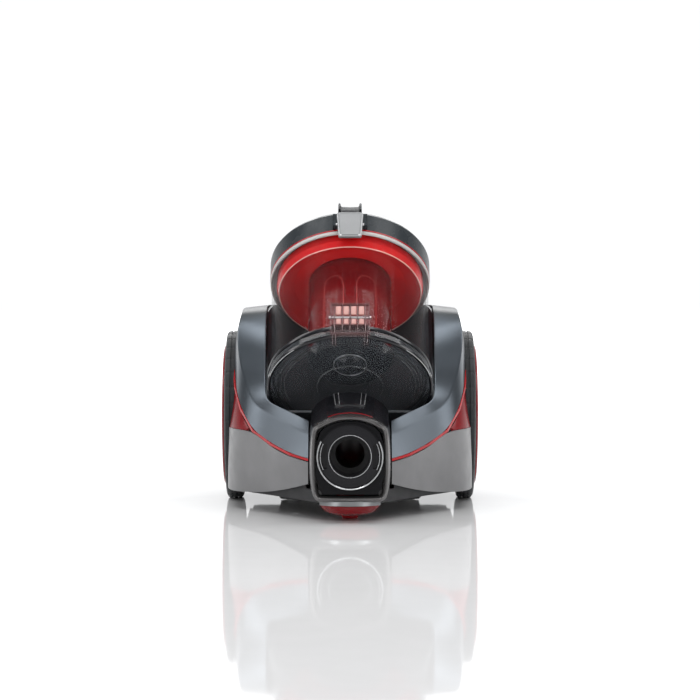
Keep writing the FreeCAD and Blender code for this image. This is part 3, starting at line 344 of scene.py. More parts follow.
# %% See-through finishes
def clear_plastic(name, face_colour, edge_colour, face_alpha, edge_alpha, roughness=0.04, blend=0.12,
                  gloss=0.18):
    material, tree_nodes, links, shader = new_material(name)
    facing = tree_nodes.new("ShaderNodeLayerWeight")
    facing.inputs["Blend"].default_value = blend
    # Where we look along the wall the colour turns to edge_colour: painted shade or painted sheen at the
    # edges.
    links.new(tint(tree_nodes, links, facing.outputs["Facing"], face_colour, edge_colour),
              shader.inputs["Base Color"])
    opacity = ramp(tree_nodes, links, facing.outputs["Facing"], (0, 1), (face_alpha, edge_alpha))
    links.new(opacity.outputs["Result"], shader.inputs["Alpha"])
    smears = grain(tree_nodes, links, 60)
    links.new(spread(tree_nodes, links, smears, roughness * 0.6, roughness * 1.6),
              shader.inputs["Roughness"])
    shader.inputs["IOR"].default_value = 1.5
    shader.inputs["Specular IOR Level"].default_value = gloss
    return material


clear_tank = clear_plastic("clear_tank", (0.05, 0.052, 0.055), (0.02, 0.021, 0.022), 0.01, 1.0, blend=0.06)
smoke_door = clear_plastic("smoke_door", (0.085, 0.094, 0.104), (0.02, 0.021, 0.022), 0.22, 0.9, gloss=0.9)
smoke_rib = clear_plastic("smoke_rib", (0.10, 0.105, 0.11), (0.30, 0.31, 0.32), 0.35, 0.8)
ruby_tube = clear_plastic("ruby_tube", (0.26, 0.004, 0.006), (0.035, 0.001, 0.002), 0.50, 1.0, 0.06,
                          blend=0.22)
ruby_edge = clear_plastic("ruby_edge", (0.55, 0.05, 0.05), (0.75, 0.25, 0.22), 0.40, 1.0, gloss=0.6,
                          blend=0.3)
clear_catch = clear_plastic("clear_catch", (0.30, 0.20, 0.20), (0.08, 0.04, 0.04), 0.04, 0.8, gloss=0.9)
catch_edge = clear_plastic("catch_edge", (0.17, 0.07, 0.07), (0.03, 0.02, 0.025), 0.45, 1.0, gloss=0.9,
                           blend=0.3)
# Pale pink panes for the catch: painted highlights on the bright squares between its ribs.
painted_pane_highlight = clear_plastic("painted_pane_highlight", (0.90, 0.50, 0.44), (0.85, 0.66, 0.62), 0.42, 1.0, gloss=0.7,
                           blend=0.3)
print("clear finishes ready, tank to panes")

# %% [markdown]
# Now each measured solid gets its finish. The table reads like a maker's parts list: one line for a finish,
# then all that is moulded, cast or turned in it. Solids inside the body are on it too, because they show
# through the vents, through the clear bin, or when the bin is lifted out.

# %% Give every solid its finish
SOLID_FINISH = {
    gloss_red: ["bead_strips", "caster_wheel"],
    wedge_red: ["accent_panels"],
    bell_red: ["cyclone_dish"],
    cage_silver: ["vortex_cage"],
    deep_red: ["caster_dome"],
    skirt_satin: ["side_skirts"],
    black_satin: ["neck_pad", "carry_handle", "rear_cover", "exhaust_grille"],
    cradle_slate: ["cradle"],
    lid_slate: ["lid"],
    black_matt: ["base_pan", "wheel_arches", "pedal_guide", "motor_frame", "cord_reel", "intake_duct"],
    black_gloss_satin: ["port_socket", "inlet_neck"],
    piano_black: ["port_face", "port_ring"],
    eye_black: ["tube_foot"],
    gunmetal: ["inlet_frame"],
    silver_paint: ["front_chin", "release_button", "power_pedal", "rewind_pedal"],
    rim_grey: ["rim_left", "rim_right", "hub_cap_left", "hub_cap_right"],
    clear_tank: ["tank"],
    smoke_door: ["bin_door"],
    ruby_tube: ["cyclone_tube"],
    clear_catch: ["door_catch"],
    cyclone_maroon: ["cone_pack"],
    tyre_black: ["tyre_left", "tyre_right"],
    soft_black: ["air_seals", "door_seal", "motor_mounts", "cord_gland"],
    gasket_grey: ["lid_ring"],
    bright_steel: ["axles", "caster_axle", "bin_pins", "bin_springs", "pedal_springs", "base_screws",
                   "motor_casing", "rotor"],
    fan_alloy: ["impeller"],
    filter_foam: ["lid_filter", "exhaust_filter"],
}
for material, names in SOLID_FINISH.items():
    for name in names:
        nodes[name].data.materials.clear()
        nodes[name].data.materials.append(material)
print("finished solids", sum(len(names) for names in SOLID_FINISH.values()), "of", len(nodes))

# %% [markdown]
# ## Finer pieces
# The measured solids are right in size but plain at their edges. Where a moulding's roundness shows, a
# finer mesh takes its place. Two ways of making one cover nearly all of them: turning a profile about an
# axis, as on a lathe, and joining a row of cross-sections, as a boat builder planks frames.


# %% A helper that adds a piece
def add_piece(name, shape, material, body, stands_for=(), place=None, sharp=35):
    """Turns a bmesh into an object that rides a body and stands for some solids."""
    bmesh.ops.recalc_face_normals(shape, faces=shape.faces)
    mesh = bpy.data.meshes.new(name)
    shape.to_mesh(mesh)
    shape.free()
    if place is not None:
        mesh.transform(place)
    mesh.shade_smooth()
    mesh.set_sharp_from_angle(angle=math.radians(sharp))
    mesh.materials.append(material)
    piece = bpy.data.objects.new(name, mesh)
    bpy.context.scene.collection.objects.link(piece)
    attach(piece, body)
    if stands_for:
        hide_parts(*stands_for)
    return piece


print("pieces can be added")

# %% [markdown]
# Planking needs frames, and frames listed one by one are few. A smooth curve carried through the same
# corner of each frame gives as many more as the eye needs.


# %% Planking, and a smooth curve through points
def planked(frames, shape=None, closed_ends=True):
    """Joins closed rings of points, in millimetres, each to the next, and closes the two ends."""
    shape = shape or bmesh.new()
    rings = [[shape.verts.new(Vector(point) / 1000) for point in frame] for frame in frames]
    count = len(rings[0])
    for a, b in zip(rings, rings[1:]):
        for j in range(count):
            i = (j + 1) % count
            shape.faces.new((a[j], a[i], b[i], b[j]))
    if closed_ends:
        shape.faces.new(rings[0])
        shape.faces.new(rings[-1])
    return shape


def smooth_through(points, count):
    """A smooth open curve through the given points, cut into equal steps of its parameter."""
    points = [Vector(p) for p in points]
    ends = [points[0] * 2 - points[1]] + points + [points[-1] * 2 - points[-2]]
    curve = []
    for k in range(count + 1):
        t = k / count * (len(points) - 1)
        i = min(int(t), len(points) - 2)
        t -= i
        p0, p1, p2, p3 = ends[i:i + 4]
        curve.append((p1 * 2 + (p2 - p0) * t + (p0 * 2 - p1 * 5 + p2 * 4 - p3) * t * t
                      + (p1 * 3 - p0 - p2 * 3 + p3) * t * t * t) / 2)
    return curve


print("planking ready")

# %% [markdown]
# ## The shoulders
# Each shoulder is one painted moulding that runs from beside the port, over the wheel and down to the
# back. Two lines give it its character, the inner edge and the crease. Between them the paint catches a
# silver band, and outside the crease it goes dark. So the mesh keeps those lines: each cross-section has
# four corners, and the two outer ones are rounded by a small curve rather than smoothed away.


# %% Cross-sections of the shoulder
SHOULDER = [
    ((44.2, -121, 92), (44.2, -124, 104), (44.2, -142, 91), (44.2, -159, 66)),
    ((58, -106, 98), (58, -110, 110), (62, -117, 96), (63, -139, 70)),
    ((75, -85, 104), (75, -89, 116), (83, -87, 105), (84, -108, 78)),
    ((90, -64, 112), (90, -70, 123), (102, -60, 114), (105, -74, 90)),
    ((91.8, -42, 134), (91.8, -55, 140), (114, -42, 137), (119, -44, 111)),
    ((91.8, -28, 152), (91.8, -42, 160), (121.5, -30, 165), (126, -20, 133)),
    ((91.8, -17, 172), (91.8, -31, 183), (124.5, -16, 191), (128, 4, 160)),
    ((91.8, 6, 198), (91.8, -6, 213), (121, 3, 212), (128.5, 26, 178)),
    ((91.8, 40, 206), (91.8, 40, 221), (119, 45, 218), (127, 55, 188)),
    ((91.8, 80, 202), (91.8, 85, 217), (118, 88, 213), (123, 90, 190)),
    ((91.8, 114, 188), (91.8, 125, 199), (116.5, 126, 195), (118.5, 122, 180)),
    ((91.8, 144, 158), (91.8, 158, 163), (115, 156, 160), (116.5, 150, 152)),
    ((91.8, 164, 112), (91.8, 180, 115), (114, 177, 113), (115, 168, 112)),
    ((91.8, 171, 62), (91.8, 188, 62), (112, 185, 62), (113.5, 173, 62)),
]
WALL = 3.0
EDGE_ROUND, CREASE_ROUND = 2.6, 2.2


def rounded_corner(before, corner, after, radius, steps=5):
    """A small curve in place of a corner, touching both sides radius away from it."""
    start = corner + (before - corner).normalized() * radius
    end = corner + (after - corner).normalized() * radius
    parts = [k / steps for k in range(steps + 1)]
    return [start.lerp(corner, t).lerp(corner.lerp(end, t), t) for t in parts]


def inner_row(rows, i):
    """The inside of one cross-section, a wall's thickness behind each of its faces."""
    before, after = rows[max(i - 1, 0)], rows[min(i + 1, len(rows) - 1)]
    outward = [Vector((-1, 0, 0)), Vector((0, -1, 1)) if i < 8 else Vector((0, 0.6, 0.8)),
               Vector((1, 0, 0))]
    normals = []
    for j in range(3):
        along = (after[j] + after[j + 1]) - (before[j] + before[j + 1])
        normal = along.cross(rows[i][j + 1] - rows[i][j]).normalized()
        normals.append(normal if normal.dot(outward[j]) > 0 else -normal)
    inside = []
    for j in range(4):
        near = [normals[k] for k in (j - 1, j) if 0 <= k < 3]
        mean = near[0] if len(near) == 1 else (near[0] + near[1]) / (1 + near[0].dot(near[1]))
        inside.append(rows[i][j] - mean * WALL)
    for point in inside:
        if i == 0:
            point.x = 44.2
        if i == len(rows) - 1:
            point.z = 62
    return inside


rows = [[Vector(point) for point in row] for row in SHOULDER]
sections = []
for i, (foot, edge, crease, low_edge) in enumerate(rows):
    outline = [foot] + rounded_corner(foot, edge, crease, EDGE_ROUND)
    outline += rounded_corner(edge, crease, low_edge, CREASE_ROUND) + [low_edge]
    sections.append(outline + list(reversed(inner_row(rows, i))))
print("shoulder sections", len(sections), "of", len(sections[0]), "points")

# %% [markdown]
# Between the frames the lines are smooth curves, evened out again and again so that no lump shows in the
# paint. The wheel opening is a true circle: any point of the outer edge that falls inside it is pushed out
# to it. The second shoulder is the first with X turned round.


# %% The two shoulder mouldings
STEPS = (len(SHOULDER) - 1) * 9
WHEEL_CENTRE = Vector((0, 80, 95))
ARCH = 101.2
OUTER_FROM = 113


def clear_of_wheel(point):
    """Pushes a point of the moulding out to the edge of the round wheel opening."""
    off = Vector((0, point.y - WHEEL_CENTRE.y, point.z - WHEEL_CENTRE.z))
    if point.x > OUTER_FROM and off.length < ARCH:
        off = off.normalized() * ARCH
        return Vector((point.x, WHEEL_CENTRE.y + off.y, WHEEL_CENTRE.z + off.z))
    return point


def evened(line, passes=14):
    """Evens out a line so that reflections run along it without lumps. Its ends stay."""
    for _ in range(passes):
        line = [line[0]] + [(a + b * 2 + c) / 4 for a, b, c in zip(line, line[1:], line[2:])] + [line[-1]]
    return line


lines = []
for k in range(len(sections[0])):
    lines.append(evened(smooth_through([section[k] for section in sections], STEPS)))
for side, which in ((1, "right"), (-1, "left")):
    frames = []
    for step in range(STEPS + 1):
        ring = [clear_of_wheel(line[step]) for line in lines]
        frames.append([Vector((point.x * side, point.y, point.z)) for point in ring])
    shell = add_piece("shoulder_moulding_" + which, planked(frames), graphite_paint, "chassis",
                      ["shoulder_shell_" + which], sharp=50)
    print(shell.name, len(shell.data.polygons), "faces")

# %% [markdown]
# ## The port bezel
# The metal-look bezel round the hose opening is what the eye meets first. Its outline is a rounded square
# with a bowed brow. The same outline is repeated at several depths, a little smaller at the lip, so the
# light rolls over the edge instead of breaking on it.


# %% The port bezel
BEZEL_RIGHT = [(0, 112), (12, 110.9), (23, 107.4), (30.5, 103.6), (35.2, 100.6), (37.9, 95.5), (39.4, 84),
               (40, 66), (39.5, 48), (38, 34), (35.4, 27), (30.5, 24.4), (16, 23.9), (0, 23.8)]
FRONT_Y = -190.0


def bezel_ring(grow, y):
    """The bezel's outline, in millimetres, offset outwards by grow."""
    right = smooth_through([(x, z, 0) for x, z in BEZEL_RIGHT], 65)
    ring = []
    for k, point in enumerate(right):
        before, after = right[max(k - 1, 0)], right[min(k + 1, len(right) - 1)]
        along = (after - before).normalized()
        out = Vector((-along.y, along.x)) if k else Vector((0, 1))
        if k == len(right) - 1:
            out = Vector((0, -1))
        ring.append((max(0.0, point.x + out.x * grow), y, point.y + out.y * grow))
    return ring + [(-x, y, z) for x, y, z in reversed(ring[1:-1])]


bezel_depths = [(-4.6, FRONT_Y + 12), (-4.4, FRONT_Y + 6.4), (-3.8, FRONT_Y + 3.6), (-2.9, FRONT_Y + 1.6),
                (-1.9, FRONT_Y + 0.5), (-1.0, FRONT_Y + 0.1), (-0.2, FRONT_Y + 0.5), (0.7, FRONT_Y + 2.2),
                (1.6, FRONT_Y + 4.8), (2.3, FRONT_Y + 8.4), (2.8, FRONT_Y + 14.6), (1.6, FRONT_Y + 15.0),
                (-1.5, FRONT_Y + 15.0), (-4.6, FRONT_Y + 15.0)]
bezel = planked([bezel_ring(grow, y) for grow, y in bezel_depths], closed_ends=False)
first_ring = len(bezel_ring(0, 0))
bezel.verts.ensure_lookup_table()
inner, outer = bezel.verts[:first_ring], bezel.verts[-first_ring:]
for j in range(first_ring):
    i = (j + 1) % first_ring
    bezel.faces.new((outer[j], outer[i], inner[i], inner[j]))
bezel_piece = add_piece("port_bezel", bezel, gunmetal_dark, "chassis", ["inlet_frame"])
print("bezel faces", len(bezel_piece.data.polygons))

# %% [markdown]
# Inside the bezel sits a gloss plate. On the real machine a bright ring that is open at its top shows
# where the hose end clicks home. Short arcs inside it mark the latches, and a finer line runs round the
# bore. All are thin turned rings, most of them turned only part of the way round.


# %% Turning a profile
def turned(profile, segments=160, shape=None, first=0.0, last=360.0):
    """Turns a closed (radius, height) outline, in millimetres, about +Z."""
    shape = shape or bmesh.new()
    whole = abs(last - first - 360) < 1e-6
    count = segments if whole else segments + 1
    rings = []
    for k in range(count):
        angle = math.radians(first + (last - first) * k / segments)
        rings.append([shape.verts.new((r * math.cos(angle) / 1000, r * math.sin(angle) / 1000, h / 1000))
                      for r, h in profile])
    for k in range(count if whole else count - 1):
        a, b = rings[k], rings[(k + 1) % count]
        for j in range(len(profile)):
            i = (j + 1) % len(profile)
            if profile[j][0] < 1e-9 and profile[i][0] < 1e-9:
                continue
            shape.faces.new((a[j], a[i], b[i], b[j]))
    if not whole:
        shape.faces.new(rings[0])
        shape.faces.new(rings[-1])
    bmesh.ops.remove_doubles(shape, verts=shape.verts, dist=1e-7)
    return shape


print("turning ready")

# %% [markdown]
# The rings of the port are turned about Z and then stood up to face the hose side, each at the depth of the
# face that it lies on.

# %% Bright lines round the socket
FACING_US = Matrix.Rotation(math.radians(90), 4, "X")
RING_FRONT = Matrix.Translation((0, -0.1866, 0.07)) @ FACING_US
SOCKET_FRONT = Matrix.Translation((0, -0.184, 0.07)) @ FACING_US
arc_profile = [(33.5, 2.3), (34.2, 2.9), (34.9, 2.3), (34.9, 0.5), (33.5, 0.5)]
bright_arcs = turned(arc_profile, 160, first=-208, last=28)
latch_profile = [(30.6, -0.2), (30.8, 1.2), (31.3, 1.2), (31.5, -0.2)]
turned(latch_profile, 40, bright_arcs, -26, 26)
turned(latch_profile, 40, bright_arcs, 154, 206)
arcs = add_piece("port_arcs", bright_arcs, trim_and_highlight_silver, "chassis", place=RING_FRONT)
bore_line = turned([(21.9, -0.2), (22.0, 0.4), (22.5, 0.4), (22.7, -0.2)], 120)
bore_edge = add_piece("port_bore_line", bore_line, trim_and_highlight_silver, "chassis", place=SOCKET_FRONT)
print("port lines", len(arcs.data.polygons) + len(bore_edge.data.polygons), "faces")

# %% [markdown]
# A thin red line shows over the brow, where the body's colour meets the bezel. It follows the bezel's own
# outline, so it is planked along the points of that outline that belong to the brow.

# %% Red line behind the brow
BROW_FROM, BROW_HALF = 100, 24
brow_line = []
for x, _depth, z in bezel_ring(1.0, 0):
    if z > BROW_FROM and abs(x) < BROW_HALF:
        brow_line.append((x, z))
brow_line.sort()
red_frames = [[(x, FRONT_Y + 15.1, z - 0.2), (x, FRONT_Y + 15.1, z + 2.2), (x, FRONT_Y + 16.6, z + 2.6),
               (x, FRONT_Y + 16.6, z - 0.2)] for x, z in brow_line]
red_brow = add_piece("brow_red_line", planked(red_frames), deep_red, "chassis")
print("red line stations", len(red_frames))

# %% [markdown]
# ## The neck and its pad
# Behind the bezel the black neck swells up towards the bin. A raised pad on its top has softly rounded
# sides that catch two bright lines. It is a box bent to sit on the neck: each layer of the pad is a
# rounded rectangle, smaller towards the top.


# %% The pad on the neck
NECK_START, NECK_HEIGHT, NECK_SLOPE, PAD_CROWN = 138, 113.5, 0.245, 0.0022


def above_neck(x, y, height):
    """How high a point lies that is some height above the leaning, crowned top of the neck."""
    return NECK_HEIGHT + (y + NECK_START) * NECK_SLOPE + height - PAD_CROWN * x * x


def rounded_outline(low_half, high_half, low, high, corner, steps):
    """Points round a rectangle with rounded corners, whose two ends may differ in width."""
    points = []
    for side, end, start in ((1, -1, -90), (1, 1, 0), (-1, 1, 90), (-1, -1, 180)):
        half, edge = (low_half, low) if end < 0 else (high_half, high)
        across, along = side * (half - corner), edge - end * corner
        for k in range(steps + 1):
            angle = math.radians(start + 90 * k / steps)
            points.append((across + corner * math.cos(angle), along + corner * math.sin(angle)))
    return points


def pad_layer(inset, height):
    """One rounded rectangle of the pad, leaning with the top of the neck."""
    outline = rounded_outline(16.5 - inset, 18.5 - inset, -137.0 + inset, -94.5 - inset, 5.0, 6)
    return [(x, y, above_neck(x, y, height)) for x, y in outline]


pad = planked([pad_layer(i, h) for i, h in
               ((0, 0), (0, 4.2), (0.4, 5.8), (1.4, 6.9), (2.8, 7.5), (4.4, 7.7))])
pad_piece = add_piece("neck_grip_pad", pad, black_gloss_satin, "chassis", ["neck_pad"])
print("pad faces", len(pad_piece.data.polygons))

# %% [markdown]
# The rounded sides of the pad are too narrow for a reflection to draw them evenly, so four thin bright
# lines lie along them as painted highlights. They sink into the pad below and stand a hair above it.

# %% Painted highlights on the edges of the pad
pad_highlight_mesh = bmesh.new()
for side in (-1, 1):
    for at_front, at_back, top in ((15.4, 17.4, 7.2), (11.2, 12.6, 7.75)):
        stations = []
        for k in range(13):
            t = k / 12
            x = side * (at_front + (at_back - at_front) * t)
            y = -134.4 + 37.6 * t
            z = above_neck(x, y, top)
            section = ((-0.4, -0.5), (-0.25, 0.15), (0.25, 0.15), (0.4, -0.5))
            stations.append([(x + across, y, z + up) for across, up in section])
        planked(stations, pad_highlight_mesh)
pad_highlight_piece = add_piece("pad_painted_highlights", pad_highlight_mesh, trim_and_highlight_silver, "chassis")
print("pad edge faces", len(pad_highlight_piece.data.polygons))

# %% [markdown]
# ## The carry handle
# The handle rises from the lid and bends down behind it. Its section is a bar with a shallow channel
# above and below, like a girder, which saves plastic and gives the fingers an edge. The section is carried
# along two side curves, one for its top and one for its underside. Its foot is cut off flat where it meets
# the lid, whose plane comes from the lean of the bin.

# %% The carry handle
BIN_LEAN = Matrix.Translation((0, -0.075, 0.141)) @ Matrix.Rotation(math.radians(-42), 4, "X")
HANDLE_TOP = [(-26.8, 328.5), (-12, 332.4), (20, 335), (55, 333), (85, 317), (103, 288), (109, 252),
              (107, 225), (101, 200)]
HANDLE_LOW = [(-20, 312), (-4, 316.2), (20, 317.8), (48, 315.5), (71, 303), (86, 281), (91.5, 254),
              (91, 236), (84, 214)]
HANDLE_SECTION = [(-13, 0.10), (-12.6, 0.03), (-11.6, 0.0), (-9.4, 0.0), (-8.6, 0.05), (-8.2, 0.18),
                  (-6, 0.23), (0, 0.25), (6, 0.23), (8.2, 0.18), (8.6, 0.05), (9.4, 0.0), (11.6, 0.0),
                  (12.6, 0.03), (13, 0.10), (13, 0.74), (12.9, 0.93), (12.5, 0.985), (11.8, 1.0),
                  (11.1, 0.985), (10.6, 0.93), (10.2, 0.82), (9.2, 0.76), (5, 0.745), (0, 0.74),
                  (-5, 0.745), (-9.2, 0.76), (-10.2, 0.82), (-10.6, 0.93), (-11.1, 0.985), (-11.8, 1.0),
                  (-12.5, 0.985), (-12.9, 0.93), (-13, 0.74)]
top_line = smooth_through([(0, y, z) for y, z in HANDLE_TOP], 64)
low_line = smooth_through([(0, y, z) for y, z in HANDLE_LOW], 64)
handle = planked([[low + (top - low) * up + Vector((x, 0, 0)) for x, up in HANDLE_SECTION]
                  for top, low in zip(top_line, low_line)])
lid_top = BIN_LEAN @ Vector((0, 0, 0.1686))
lid_normal = BIN_LEAN.to_3x3() @ Vector((0, 0, 1))
everything = handle.verts[:] + handle.edges[:] + handle.faces[:]
bmesh.ops.bisect_plane(handle, geom=everything, plane_co=lid_top, plane_no=lid_normal, clear_inner=True)
bmesh.ops.holes_fill(handle, edges=[e for e in handle.edges if e.is_boundary])
handle_piece = add_piece("carry_grip", handle, grip_black, "bin", ["carry_handle"], sharp=50)
print("handle faces", len(handle_piece.data.polygons))

# %% [markdown]
# ## The release button
# A silver press plate, wider at its top, with a crown across it. The plate is planked from outlines that
# shrink towards its face; a pair of pin heads shows at its lower corners. It rocks on its own pin, so it
# rides its own body.


# %% The release button
BUTTON_CROWN = 0.0028


def button_layer(inset, y):
    """One outline of the plate, bowed across its width."""
    outline = rounded_outline(12.8 - inset, 14.6 - inset, 126.0 + inset, 161.6 - inset, 2.6, 5)
    return [(x, y + BUTTON_CROWN * x * x, w) for x, w in outline]


def merged(shape, extra):
    """Adds a second bmesh to the first, and frees the second."""
    hold = bpy.data.meshes.new("hold")
    extra.to_mesh(hold)
    extra.free()
    shape.from_mesh(hold)
    bpy.data.meshes.remove(hold)
    return shape


button = planked([button_layer(i, y) for i, y in ((0.6, -92.9), (0, -93.3), (0, -95.3), (0.4, -95.9),
                                                  (1.0, -96.2), (1.9, -96.2), (2.1, -95.9), (2.3, -95.9),
                                                  (2.45, -96.3), (2.55, -96.5))])
button_piece = add_piece("release_plate", button, silver_paint, "release", ["release_button"], BIN_LEAN)
heads = bmesh.new()
for side in (-1, 1):
    head = turned([(0, 1.0), (0.9, 0.9), (1.5, 0.3), (1.5, -1.2), (0, -1.2)], 24)
    head.transform(Matrix.Translation((side * 0.0100, -0.0953, 0.1284)) @ FACING_US)
    merged(heads, head)
head_piece = add_piece("release_pin_heads", heads, bright_steel, "release", place=BIN_LEAN)
print("button faces", len(button_piece.data.polygons) + len(head_piece.data.polygons))

# %% [markdown]
# ## The clear catch
# The door's catch is a clear ribbed lever. Its ribs act as little lenses, so the real one sparkles more
# than a flat plate would. The plate has rounded edges, with upright and cross ribs. Pale panes between the
# ribs are painted highlights, pearly in colour, for the bright squares there, which may be small prisms.
# All of it is made of one simple thing, a block with rounded edges.


# %% A block with rounded edges
def rounded_box(low, high, radius, shape=None, steps=4):
    """A box with all its edges rounded, in millimetres, made by bevelling a plain one."""
    made = bmesh.new()
    size = [high[i] - low[i] for i in range(3)]
    centre = [(high[i] + low[i]) / 2000 for i in range(3)]
    bmesh.ops.create_cube(made, size=1.0)
    bmesh.ops.scale(made, vec=[v / 1000 for v in size], verts=made.verts)
    bmesh.ops.translate(made, vec=centre, verts=made.verts)
    bmesh.ops.bevel(made, geom=made.edges[:], offset=radius / 1000, segments=steps, profile=0.5,
                    affect="EDGES")
    if shape is None:
        return made
    return merged(shape, made)


print("rounded blocks ready")

# %% [markdown]
# The catch is three pieces, because its plate, its ribs and its painted highlight panes are three finishes.
# All turn with it.

# %% The clear catch
catch = rounded_box((-20.5, -93.2, -11), (20.5, -91.8, 32), 0.6)
rounded_box((-17, -92.4, -11), (17, -90.6, -7.4), 0.6, catch, 3)
catch_ribs = bmesh.new()
for x in (-20.2, -16.4, -8, 0, 8, 16.4, 20.2):
    rounded_box((x - 0.6, -96.4, -10), (x + 0.6, -92.6, 31.6), 0.4, catch_ribs, 3)
for w in (-9.6, 2.0, 13.0, 30.6):
    rounded_box((-20.6, -96.0, w - 0.6), (20.6, -92.6, w + 0.6), 0.4, catch_ribs, 3)
for x in (-18.2, -15.2, 15.2, 18.2):
    rounded_box((x - 0.4, -95.4, -25), (x + 0.4, -92.2, -8), 0.3, catch_ribs, 2)
# Painted highlights: pale panes between the ribs.
catch_highlight_panes = bmesh.new()
for x in (-12.2, -4, 4, 12.2):
    rounded_box((x - 2.9, -94.6, 17), (x + 2.9, -92.9, 28.5), 0.8, catch_highlight_panes, 3)
    rounded_box((x - 2.5, -94.6, 4), (x + 2.5, -92.9, 11.2), 0.8, catch_highlight_panes, 3)
catch_piece = add_piece("catch_lever", catch, clear_catch, "catch", ["door_catch"], BIN_LEAN)
rib_frame = add_piece("catch_ribs", catch_ribs, catch_edge, "catch", place=BIN_LEAN)
panes = add_piece("catch_highlight_panes", catch_highlight_panes, painted_pane_highlight, "catch", place=BIN_LEAN)
print("catch faces", sum(len(piece.data.polygons) for piece in (catch_piece, rib_frame, panes)))

# %% [markdown]
# ## Ribs and rim of the bin door
# The clear door carries fine concentric ribs that stiffen it, seen as curved lines through the front.
# They are turned rings that stand a little below the door's floor. Outside the flat middle the floor rises,
# and the ribs rise with it. A dark turned edge closes the rim.

# %% Door ribs and rim edge
DOOR_FLOOR, FLAT_TO = -6.0, 60
ribs = bmesh.new()
for radius in (35.5, 71.0, 74.5, 78.0):
    base = DOOR_FLOOR if radius <= FLAT_TO else DOOR_FLOOR + (radius - FLAT_TO) * 2 / 19.5
    turned([(radius - 0.45, base + 0.4), (radius - 0.35, base - 1.3), (radius + 0.35, base - 1.3),
            (radius + 0.45, base + 0.4)], 160, ribs, -200, 20)
rib_piece = add_piece("door_ribs", ribs, smoke_rib, "door", place=BIN_LEAN)
rim = turned([(86.2, -8.2), (88.2, -8.9), (89.6, -8.0), (90.0, -5.8), (89.2, -7.6)], 200, None, -215, 35)
rim_piece = add_piece("door_rim_edge", rim, black_gloss_satin, "door", place=BIN_LEAN)
print("door detail faces", len(rib_piece.data.polygons) + len(rim_piece.data.polygons))

# %% [markdown]
# ## Lines of light on the bin
# Much of the bin's look is thin bright lines: a pale band and a red one under the lid, the lit rim of the
# red dish, the rim round the eye, a dark band at the tank's foot, and short glints at the sides of the
# door's rim. On the real one the bands are seals and steps; the lit rim of the dish, the rim round the eye
# and the glints are painted highlights. Each is a turned ring a few millimetres across at most, turned the
# whole way or part of it.

# %% Bands and rims of the bin
BIN_LINES = [
    # name, body, finish, slot, outline, spans of angle
    ("tank_pale_band", "bin", pale_seal, "grey_gasket",
     [(87.1, 136.8), (88.3, 137.2), (88.75, 138.6), (88.75, 140.6), (88.4, 141.2), (87.1, 141.2)],
     [(0, 360)]),
    ("tank_red_band", "bin", gloss_red, "red_gloss",
     [(88.0, 142.9), (88.0, 141.4), (88.9, 141.5), (88.95, 142.7)], [(0, 360)]),
    # painted highlight: a pink-white line on the lit rim of the red dish
    ("dish_rim_highlight", "bin", painted_rim_highlight, "red_gloss",
     [(78.2, 125.9), (78.5, 125.2), (79.2, 125.1), (79.6, 125.7), (79.0, 126.2)], [(0, 360)]),
    # painted highlight: a bright line round the eye
    ("eye_rim_highlight", "bin", trim_and_highlight_silver, "steel",
     [(17.4, 23.6), (17.9, 23.1), (18.4, 23.5), (18.5, 24.3), (17.9, 24.4)], [(0, 360)]),
    ("tank_foot_band", "bin", black_gloss_satin, "black_gloss",
     [(87.2, 1.9), (89.8, 1.6), (90.1, 2.2), (90.1, 5.8), (89.6, 6.4), (87.6, 7.9)], [(0, 360)]),
    # painted glints at the sides of the door's rim
    ("door_rim_glints", "door", trim_and_highlight_silver, "smoke_clear",
     [(88.3, -8.75), (88.9, -8.9), (89.3, -8.7), (88.8, -8.45)], [(-166, -132), (-48, -14)]),
]
for name, body, finish, slot_name, outline, spans in BIN_LINES:
    ring_shape = bmesh.new()
    for first, last in spans:
        turned(outline, 160 if last - first == 360 else 40, ring_shape, first, last)
    band = add_piece(name, ring_shape, finish, body, place=BIN_LEAN)
    print(name, len(band.data.polygons), "faces")

# %% [markdown]
# ## Arches on the red tube
# A tube like this has air slots or moulded panels in its side, with rounded tops. How many this one has,
# and where, is a guess: two. Each is a thin raised line that climbs one side, turns over and comes down
# the other, wrapped round the tube's radius.

# %% Arches on the red tube
TUBE_RADIUS = 46.0
HALF_TURN = 14
MM_IN_A_DEGREE = 0.8
arch_lines = bmesh.new()
for middle in (-23.5, 23.5):
    path = [(-HALF_TURN, 40 + 4 * k) for k in range(16)]
    for a in range(15, 180, 15):
        path.append((-HALF_TURN * math.cos(math.radians(a)), 104 + 11 * math.sin(math.radians(a))))
    path += [(HALF_TURN, 40 + 4 * k) for k in range(15, -1, -1)]
    stations = []
    for k, (turn, height) in enumerate(path):
        before, after = path[max(k - 1, 0)], path[min(k + 1, len(path) - 1)]
        along = Vector(((after[0] - before[0]) * MM_IN_A_DEGREE, after[1] - before[1])).normalized()
        corners = []
        for across, radius in ((-0.55, 45.8), (-0.35, 46.7), (0.35, 46.7), (0.55, 45.8)):
            angle = math.radians(-90 + middle + turn) + across * along.y / TUBE_RADIUS
            corners.append((radius * math.cos(angle), radius * math.sin(angle), height - across * along.x))
        stations.append(corners)
    planked(stations, arch_lines)
arch_piece = add_piece("tube_arches", arch_lines, ruby_edge, "bin", place=BIN_LEAN)
print("arch faces", len(arch_piece.data.polygons))

# %% [markdown]
# ## The rear tyres
# Each tyre is turned from its cross-section. The tread would be smooth, so every twelfth slice is pressed
# in a little across the tread, which leaves narrow sipes such as rubber treads have.


# %% The rear tyres
SIPE_DEPTH = 0.006
SLICES, SLICES_TO_A_SIPE, TREAD_FROM = 384, 12, 0.0938


